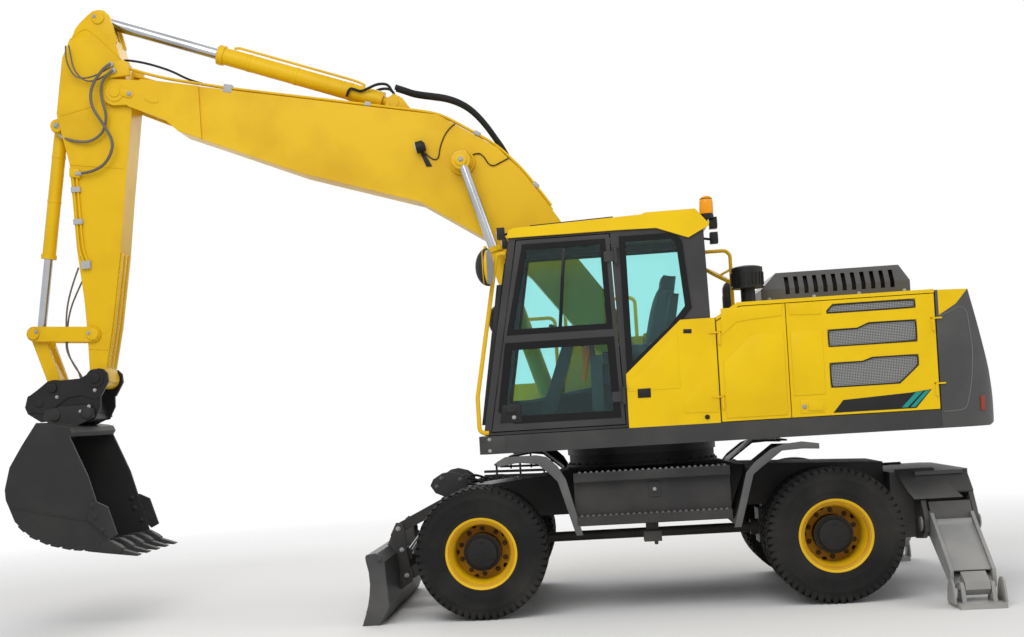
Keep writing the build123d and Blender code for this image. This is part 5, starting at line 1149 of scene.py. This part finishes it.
for side, name in sides:
    pipes = []
    for outer_y, inner_y in ((0.196, 0.164), (0.171, 0.134)):
        pipes.append(tube([
            at(x, side * (outer_y if x > 3.6 else inner_y), z) for x, z in boom_pipe_line
        ], 0.011))
    settle(joined(pipes), "boom_pipes_" + name, "boom", boom_yellow)
    clamps = []
    for x, z, lean, long, high in (
        (3.395, 4.612, -11, 0.075, 0.070), (2.170, 4.376, -11, 0.052, 0.034), (1.236, 4.044, -33, 0.052, 0.034),
        (0.760, 3.566, -49, 0.052, 0.034),
    ):
        clamps.append(block(at(x, side * 0.149, z), (long, 0.068, high), 0.008, 3,
                            rotation=(0, math.radians(lean), 0)))
    settle(joined(clamps), "boom_pipe_clamps_" + name, "boom", bright_steel)
    valve_block = cut(valve_outline, side * 0.212 - 0.024, side * 0.212 + 0.024, 0.008)
    settle(valve_block, "boom_valve_block_" + name, "boom", boom_yellow)
    nuts = [
        drum(at(x, side * 0.240, z), 0.024, 0.050, 0.003, vertices=6) for x, z in ((4.405, 4.892), (4.385, 4.836))
    ]
    settle(joined(nuts), "boom_hose_nuts_" + name, "boom", bright_steel)
    keeper = cut(keeper_outline, side * 0.210 - 0.006, side * 0.210 + 0.006, 0.004)
    settle(keeper, "arm_pin_keeper_" + name, "boom", boom_yellow)
    bolts("arm_pin_keeper_bolt_" + name, [at(4.269, side * 0.216, 4.630)], (0, side, 0), 0.014, "boom")
    bpy.ops.object.select_all(action="DESELECT")
    bpy.ops.mesh.primitive_cylinder_add(
        vertices=40, radius=1, depth=1, location=at(4.075, side * 0.208, 4.575),
        rotation=(math.pi / 2, math.radians(-25), 0),
    )
    boss = bpy.context.object
    boss.scale = (0.070, 0.036, 0.008)
    settle(soften(boss, 0.003), "boom_fork_boss_" + name, "boom", boom_yellow)
    bpy.ops.object.select_all(action="DESELECT")
    bpy.ops.mesh.primitive_torus_add(
        major_segments=48, minor_segments=10, major_radius=0.098, minor_radius=0.012,
        location=at(1.377, side * 0.206, 3.800), rotation=(math.pi / 2, 0, 0),
    )
    eye_ring = bpy.context.object
    bpy.ops.object.shade_smooth()
    settle(eye_ring, "boom_eye_weld_" + name, "boom", boom_yellow)

lamp_tilt = (0, math.radians(100), 0)
bpy.ops.object.select_all(action="DESELECT")
bpy.ops.mesh.primitive_cylinder_add(
    vertices=40, radius=0.052, depth=0.060, location=at(1.735, 0.235, 3.955), rotation=lamp_tilt,
)
lamp_body = bpy.context.object
opened(lamp_body, (0, 0, -1))
bpy.ops.mesh.extrude_region_move(TRANSFORM_OT_translate={"value": (-0.022, 0, -0.004)})
bpy.ops.transform.resize(value=(0.6, 0.6, 0.6))
bpy.ops.object.mode_set(mode="OBJECT")
soften(lamp_body, 0.006, segments=3)
lamp_bracket = cut([(1.640, 3.790), (1.690, 3.790), (1.735, 3.910), (1.705, 3.925)], 0.180, 0.192, 0.003)
lamp_arm = tube([at(1.700, 0.186, 3.890), at(1.716, 0.210, 3.912), at(1.726, 0.235, 3.925)], 0.009)
settle(joined([lamp_body, lamp_bracket, lamp_arm]), "boom_lamp", "boom", black_trim)
lamp_face = drum(at(1.766, 0.235, 3.950), 0.044, 0.006, 0.002, vertices=40, rotation=lamp_tilt)
settle(lamp_face, "boom_lamp_glass", "boom", lamp_glass)


def level(y, points, radius, resolution=3):
    """A pipe or hose that keeps to one Y, through points in X and Z from the slewing axis."""
    return tube([at(x, y, z) for x, z in points], radius, resolution)


lamp_wire = level(0.188, (
    (1.420, 4.140), (1.493, 4.096), (1.564, 3.952), (1.578, 3.856), (1.615, 3.841), (1.660, 3.870), (1.690, 3.905),
), 0.005)
grease_line = level(0.190, (
    (1.313, 3.851), (1.240, 3.880), (1.190, 3.841), (1.159, 3.777), (1.117, 3.748), (1.063, 3.770), (0.981, 3.807),
), 0.005)
settle(joined([lamp_wire, grease_line]), "boom_thin_lines", "boom", hose_rubber)

# Hoses at the boom. Thick black rubber hoses, crimped to their fittings at both ends, lead from the
# boom's back to the arm cylinder, with two thin loops at the cylinder's foot.
back_hose_line = (
    (1.935, 4.530), (1.860, 4.500), (1.777, 4.462), (1.635, 4.432), (1.493, 4.402), (1.371, 4.347),
    (1.268, 4.268), (1.169, 4.145), (1.087, 4.013), (1.020, 3.905), (0.985, 3.820),
)
loop_line = (
    (2.360, 4.470), (2.339, 4.540), (2.290, 4.530), (2.233, 4.500), (2.158, 4.530), (2.075, 4.560),
    (1.978, 4.545), (1.960, 4.480),
)
back_hoses = [level(y, back_hose_line, 0.024, resolution=5) for y in (-0.040, 0.040)]
settle(joined(back_hoses), "arm_cylinder_hoses", "boom", hose_rubber)
loops = [level(y, loop_line, 0.012) for y in (-0.100, 0.100)]
settle(joined(loops), "arm_cylinder_loops", "boom", hose_rubber)

# Boom cylinders. Yellow barrels on the slewing deck and chromed rods pinned to the boom, with yellow
# forged eyes and a wiper ring at each gland. Barrels and rods are CAD.
dress(chrome, "boom_rods", "arm_rod", "bucket_rod")


def eye_sleeve(x, y, z, radius, width):
    """The painted outside of a rod's eye, a hair larger than the rod's own."""
    return drum(at(x, y, z), radius + 0.0015, width + 0.003, 0.006, 3, vertices=48)


for side, name in sides:
    sleeve = eye_sleeve(1.377, side * 0.320, 3.800, 0.078, 0.072)
    cap = eye_sleeve(1.377, side * 0.362, 3.800, 0.052, 0.018)
    settle(joined([sleeve, cap]), "boom_rod_eye_" + name, "boom_rods", boom_yellow)
    bolts("boom_rod_bolt_" + name, [at(1.377, side * 0.3725, 3.800)], (0, side, 0), 0.014, "boom_rods")


def gland(foot, eye, y, distance, radius, length):
    """A ring round a cylinder's barrel, so far from the foot pin."""
    direction = Vector((eye[0] - foot[0], 0, eye[1] - foot[1])).normalized()
    half = length / 2
    ring = spun([
        (-half, radius - 0.006), (-half, radius - 0.001), (0.002 - half, radius), (half - 0.002, radius),
        (half, radius - 0.001), (half, radius - 0.006),
    ])
    ring.location = at(foot[0], y, foot[1]) + direction * distance
    ring.rotation_euler = direction.to_track_quat("Y", "Z").to_euler()
    return ring


settle(joined([gland((0.725, 1.620), (1.377, 3.800), side * 0.320, 1.10, 0.0665, 0.030) for side in (1, -1)]),
       "boom_barrel_bands", "boom_barrels", boom_yellow)

# Arm cylinder. It lies over the boom, with a feed pipe clamped along its barrel, a bolted gland and
# a forged rod eye in the arm's head. Barrel and rod are CAD.
arm_ram_foot, arm_ram_eye = (1.948, 4.388), (4.530, 5.340)
along_arm_ram = Vector((arm_ram_eye[0] - arm_ram_foot[0], 0, arm_ram_eye[1] - arm_ram_foot[1])).normalized()
above_arm_ram = Vector((-along_arm_ram.z, 0, along_arm_ram.x))


def beside_ram(distance, lift, y):
    """A place so far along the arm cylinder from its foot pin and so far above its axis."""
    return at(arm_ram_foot[0], y, arm_ram_foot[1]) + along_arm_ram * distance + above_arm_ram * lift


feed_pipe = tube([beside_ram(*step) for step in (
    (0.30, 0.080, 0.030), (0.34, 0.098, 0.030), (0.60, 0.098, 0.030), (1.00, 0.098, 0.030), (1.44, 0.098, 0.030),
    (1.49, 0.098, 0.030), (1.52, 0.080, 0.030))], 0.011)
bands = [gland(arm_ram_foot, arm_ram_eye, 0, distance, 0.0785, 0.034) for distance in (0.42, 0.92, 1.36)]
settle(joined([feed_pipe] + bands), "arm_cylinder_pipe", "arm_barrel", boom_yellow)
gland_bolts = []
for step in range(8):
    turn = math.radians(45 * step)
    gland_bolts.append(beside_ram(1.648, 0.070 * math.cos(turn), 0.070 * math.sin(turn)))
bolts("arm_cylinder_gland_bolts", gland_bolts, along_arm_ram, 0.009, "arm_barrel")
settle(eye_sleeve(4.530, 0, 5.340, 0.080, 0.092), "arm_rod_eye", "arm_rod", boom_yellow)

# Arm. Welded box beam in yellow with wear bars down its rear face, a cast tip, pipes on both sides
# and clamps for them. The beam is CAD.
wear_bar = [(4.443, 3.250), (4.556, 2.600), (4.636, 2.250), (4.668, 2.250), (4.590, 2.600), (4.474, 3.250)]
wear_bars = [cut(wear_bar, y - 0.024, y + 0.024, 0.005) for y in (-0.100, 0.0, 0.100)]
tip_band = cut([(4.648, 2.240), (4.632, 2.120), (4.700, 2.080), (4.720, 2.240)], -0.152, 0.152, 0.008)
settle(joined(wear_bars + [tip_band]), "arm_wear_bars", "arm", boom_yellow)
arm_pipe_line = (
    (4.842, 3.985), (4.836, 3.836), (4.830, 3.551), (4.826, 3.391), (4.818, 3.280), (4.795, 3.215), (4.780, 3.165),
)
arm_pipe_y = 0.168
for side, name in sides:
    welds = [
        level(side * 0.1505, line, 0.005) for line in (
            ((4.862, 4.062), (4.387, 3.990)), ((4.785, 5.168), (4.691, 5.255), (4.605, 5.246), (4.340, 4.951)),
            ((4.925, 4.500), (4.640, 4.560)), ((4.795, 2.420), (4.625, 2.400)),
        )
    ]
    settle(joined(welds), "arm_welds_" + name, "arm", boom_yellow)
    arm_pipes = [
        level(side * arm_pipe_y, [(x + shift, z) for x, z in arm_pipe_line], 0.010) for shift in (0.0, -0.034)
    ]
    settle(joined(arm_pipes), "arm_pipes_" + name, "arm", boom_yellow)
    arm_clamps = [
        block(at(x, side * arm_pipe_y, z), (0.082, 0.036, height), 0.008, 3)
        for x, z, height in ((4.820, 3.834, 0.046), (4.816, 3.549, 0.046), (4.768, 3.163, 0.070))
    ]
    settle(joined(arm_clamps), "arm_pipe_clamps_" + name, "arm", bright_steel)
    arm_block = cut([(4.772, 3.930), (4.772, 4.010), (4.862, 4.030), (4.868, 3.950)],
                    side * 0.172 - 0.022, side * 0.172 + 0.022, 0.008)
    settle(arm_block, "arm_hose_block_" + name, "arm", boom_yellow)
    for x, washer_y, z, radius, pin_name in (
        (4.743, 0.193, 2.547, 0.052, "guide"), (4.530, 0.157, 5.340, 0.056, "cylinder"),
    ):
        washer = eye_sleeve(x, side * washer_y, z, radius, 0.010)
        settle(washer, pin_name + "_pin_cap_" + name, "arm", boom_yellow)
        pin_bolt = at(x + 0.030, side * (washer_y + 0.0065), z + 0.012)
        bolts(pin_name + "_pin_bolt_" + name, [pin_bolt], (0, side, 0), 0.011, "arm")

# Arm head. Two yellow cheek plates welded on beside the arm cylinder's eye, with rounded tops, and
# a boss that carries the bucket cylinder's foot pin on each side.
cheek_outline = [
    (4.372, 5.120), (4.404, 5.262), (4.432, 5.352), (4.470, 5.398), (4.520, 5.410), (4.575, 5.404), (4.632, 5.366),
    (4.700, 5.310), (4.744, 5.262), (4.790, 5.170), (4.780, 5.140), (4.385, 5.090),
]
for side, name in sides:
    cheek = cut(cheek_outline, side * 0.106, side * 0.149, 0.006, segments=3)
    settle(cheek, "arm_head_cheek_" + name, "arm", boom_yellow)
    foot_boss = eye_sleeve(4.974, side * 0.118, 4.421, 0.056, 0.040)
    settle(foot_boss, "bucket_cylinder_boss_" + name, "arm", boom_yellow)
    bolts("bucket_cylinder_fitting_" + name, [at(4.974, side * 0.1395, 4.421)], (0, side, 0), 0.017, "arm")

# Hoses across the arm's pivot. Two braided hoses a side hang in an S from the boom's valve block to
# the arm and to the bucket cylinder, with two thin lines above.
hose_grey = rubber("hose_grey", linear(104, 98, 88), linear(124, 117, 106))


def flexed(piece, name):
    """A hose, baked in place, named and painted."""
    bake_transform(baked(piece, name, hose_grey))


def mirrored(side, points):
    """Places on one side of the machine, from X, Y and Z at its left."""
    return [at(x, side * y, z) for x, y, z in points]


long_line = (
    (4.405, 0.262, 4.892), (4.440, 0.268, 4.880), (4.496, 0.262, 4.835), (4.571, 0.255, 4.749),
    (4.611, 0.250, 4.651), (4.602, 0.250, 4.532), (4.539, 0.250, 4.426), (4.476, 0.250, 4.320),
    (4.431, 0.248, 4.215), (4.454, 0.240, 4.116), (4.530, 0.225, 4.021), (4.636, 0.210, 3.979),
    (4.724, 0.200, 3.969), (4.800, 0.195, 3.968),
)
short_line = (
    (4.385, 0.262, 4.836), (4.420, 0.268, 4.818), (4.474, 0.262, 4.774), (4.518, 0.240, 4.694),
    (4.512, 0.228, 4.575), (4.484, 0.222, 4.472), (4.499, 0.215, 4.372), (4.547, 0.205, 4.292),
    (4.655, 0.195, 4.241), (4.758, 0.185, 4.250), (4.860, 0.160, 4.280), (4.935, 0.120, 4.320),
    (4.962, 0.088, 4.345),
)
long_crimp = ((4.748, 0.199, 3.969), (4.775, 0.197, 3.968), (4.802, 0.194, 3.968))
short_crimp = ((4.915, 0.132, 4.308), (4.940, 0.112, 4.325), (4.962, 0.090, 4.343))
for side, name in sides:
    long_hose = tube(mirrored(side, long_line), 0.0135, resolution=5)
    flexed(long_hose, "arm_long_hose_" + name)
    short_hose = tube(mirrored(side, short_line), 0.0125, resolution=5)
    flexed(short_hose, "arm_short_hose_" + name)
    crimps = [tube(mirrored(side, long_crimp), 0.018), tube(mirrored(side, short_crimp), 0.017)]
    settle(joined(crimps), "arm_hose_crimps_" + name, "arm", bright_steel)
thin_hoses = [
    level(0.214, line, 0.007, resolution=5) for line in (
        ((4.818, 5.100), (4.825, 5.001), (4.804, 4.915), (4.757, 4.826), (4.689, 4.800), (4.602, 4.804),
         (4.500, 4.840), (4.420, 4.880)),
        ((4.789, 5.100), (4.777, 5.014), (4.768, 4.928), (4.738, 4.850), (4.660, 4.770), (4.560, 4.770),
         (4.470, 4.810), (4.410, 4.850)),
    )
]
flexed(joined(thin_hoses), "arm_thin_hoses")
over_hose = tube(mirrored(1, (
    (4.300, 0.200, 4.930), (4.243, 0.196, 4.925), (4.105, 0.188, 4.890), (3.968, 0.180, 4.840),
    (3.867, 0.172, 4.795), (3.768, 0.160, 4.735), (3.660, 0.140, 4.690), (3.560, 0.120, 4.660),
)), 0.010)
settle(over_hose, "boom_end_hose", "boom", hose_rubber)

# Bucket cylinder. It lies along the arm's front, with a feed pipe, a bolted gland and a yellow rod
# eye between the guide links. Barrel and rod are CAD.
bucket_ram_foot, rod_pin = (4.974, 4.421), (5.281, 2.583)
bucket_bands = [gland(bucket_ram_foot, rod_pin, 0, distance, 0.0625, 0.030) for distance in (0.26, 0.66)]
settle(joined(bucket_bands), "bucket_cylinder_bands", "bucket_barrel", boom_yellow)
settle(eye_sleeve(5.281, 0, 2.583, 0.062, 0.128), "bucket_rod_eye", "bucket_rod", boom_yellow)
for side, name in sides:
    link_cap = eye_sleeve(5.281, side * 0.1965, 2.583, 0.050, 0.010)
    settle(link_cap, "rod_pin_cap_" + name, "guide_links", boom_yellow)
    bolts("rod_pin_bolt_" + name, [at(5.250, side * 0.203, 2.600)], (0, side, 0), 0.011, "guide_links")

# Quick coupler. Cast and welded steel in black, which holds the bucket's two pins, with round pin
# ends, small keeper bolts and two thin hoses to its lock. Its body is CAD.
coupler_black = painted("coupler_black", linear(32, 32, 33), linear(44, 43, 42), 0.42, edge=0.005)
dress(coupler_black, "coupler")
for side, name in sides:
    pin_ends = [
        eye_sleeve(4.733, side * 0.236, 2.155, 0.046, 0.010), eye_sleeve(5.127, side * 0.234, 2.092, 0.042, 0.010),
        eye_sleeve(5.255, side * 0.224, 1.962, 0.034, 0.008),
    ]
    settle(joined(pin_ends), "coupler_pin_ends_" + name, "bucket", coupler_black)
    coupler_bolts = [at(x, side * 0.222, z) for x, z in ((4.742, 2.050), (5.090, 2.010))]
    bolts("coupler_bolts_" + name, coupler_bolts, (0, side, 0), 0.010, "bucket")
lock_hoses = [
    tube(mirrored(side, points), 0.008, resolution=5) for side, points in (
        (1, ((4.855, 0.120, 3.150), (4.930, 0.128, 2.980), (4.990, 0.134, 2.760), (5.000, 0.134, 2.527),
             (5.009, 0.134, 2.448), (4.992, 0.134, 2.376), (4.946, 0.134, 2.294), (4.900, 0.134, 2.211),
             (4.880, 0.134, 2.110))),
        (-1, ((4.855, 0.120, 3.150), (4.960, 0.128, 2.980), (5.066, 0.134, 2.760), (5.094, 0.134, 2.512),
              (5.094, 0.134, 2.449), (5.074, 0.134, 2.367), (5.030, 0.134, 2.275), (4.970, 0.134, 2.190),
              (4.940, 0.134, 2.090))),
    )
]
flexed(joined(lock_hoses), "coupler_hoses")

# Bucket. Welded plate in dark grey, lighter on its edges from a little wear and a painted highlight, with
# bolted side cutters, adapters behind the teeth, heel strips and weld beads. Shell, cutters and teeth are CAD.
bucket_grey = painted("bucket_grey", linear(46, 46, 46), linear(58, 57, 56), 0.55, edge=0.012)
dress(bucket_grey, "bucket")
adapter = [
    (4.640, 0.742), (4.560, 0.742), (4.486, 0.700), (4.452, 0.672), (4.466, 0.628), (4.560, 0.634), (4.660, 0.650),
]
adapters = []
for y in [-0.555 + 0.2775 * number for number in range(5)]:
    adapters.append(cut(adapter, y - 0.056, y + 0.056, 0.010, segments=3))
    for side, name in sides:
        adapters.append(drum(at(4.505, y + side * 0.058, 0.670), 0.016, 0.010, 0.003, vertices=20))
settle(joined(adapters), "tooth_adapters", "bucket", bucket_grey)
heel_line = [at(x, 0, z) for x, z in (
    (5.392, 0.948), (5.280, 0.830), (5.100, 0.740), (4.900, 0.690), (4.600, 0.660))]
heel_pitch = 0.11
heel_strips = []
for start, end in zip(heel_line, heel_line[1:]):
    run = end - start
    count = max(1, round(run.length / heel_pitch))
    for number in range(count):
        middle = start + run * ((number + 0.5) / count)
        for side, name in sides:
            heel_strips.append(block(middle + Vector((0, side * 0.520, 0)), (0.070, 0.164, 0.024), 0.004,
                                     rotation=(0, -math.atan2(run.z, run.x), 0)))
settle(joined(heel_strips), "heel_strips", "bucket", bucket_grey)
cutter_bolts = ((4.690, 1.050), (4.668, 0.955), (4.610, 0.840))
for side, name in sides:
    bead = level(side * 0.602, ((5.432, 1.075), (5.339, 1.059), (4.793, 0.927), (4.740, 0.930)), 0.006)
    settle(bead, "bucket_side_bead_" + name, "bucket", bucket_grey)
    for piece_name, shift, y, way in (("cutter_bolts_", 0, 0.622, side), ("cutter_nuts_", 0.03, 0.572, -side)):
        bolts(piece_name + name, [at(x + shift, side * y, z) for x, z in cutter_bolts], (0, way, 0), 0.016,
              "bucket", bucket_grey)
    ear_ends = [eye_sleeve(x, side * 0.268, z, 0.050, 0.010) for x, z in ((4.815, 1.853), (5.105, 1.848))]
    settle(joined(ear_ends), "bucket_pin_ends_" + name, "bucket", bucket_grey)
    bolts("bucket_pin_bolts_" + name, [at(4.870, side * 0.261, 1.870), at(4.790, side * 0.261, 1.910)],
          (0, side, 0), 0.010, "bucket")

# Engine. A cast and bolted block behind the side doors, in grey paint, mounted on the upper frame
# and mostly unseen. It is CAD.
engine_grey = painted("engine_grey", linear(96, 98, 100), linear(80, 81, 82), 0.6)
dress(engine_grey, "engine_block")
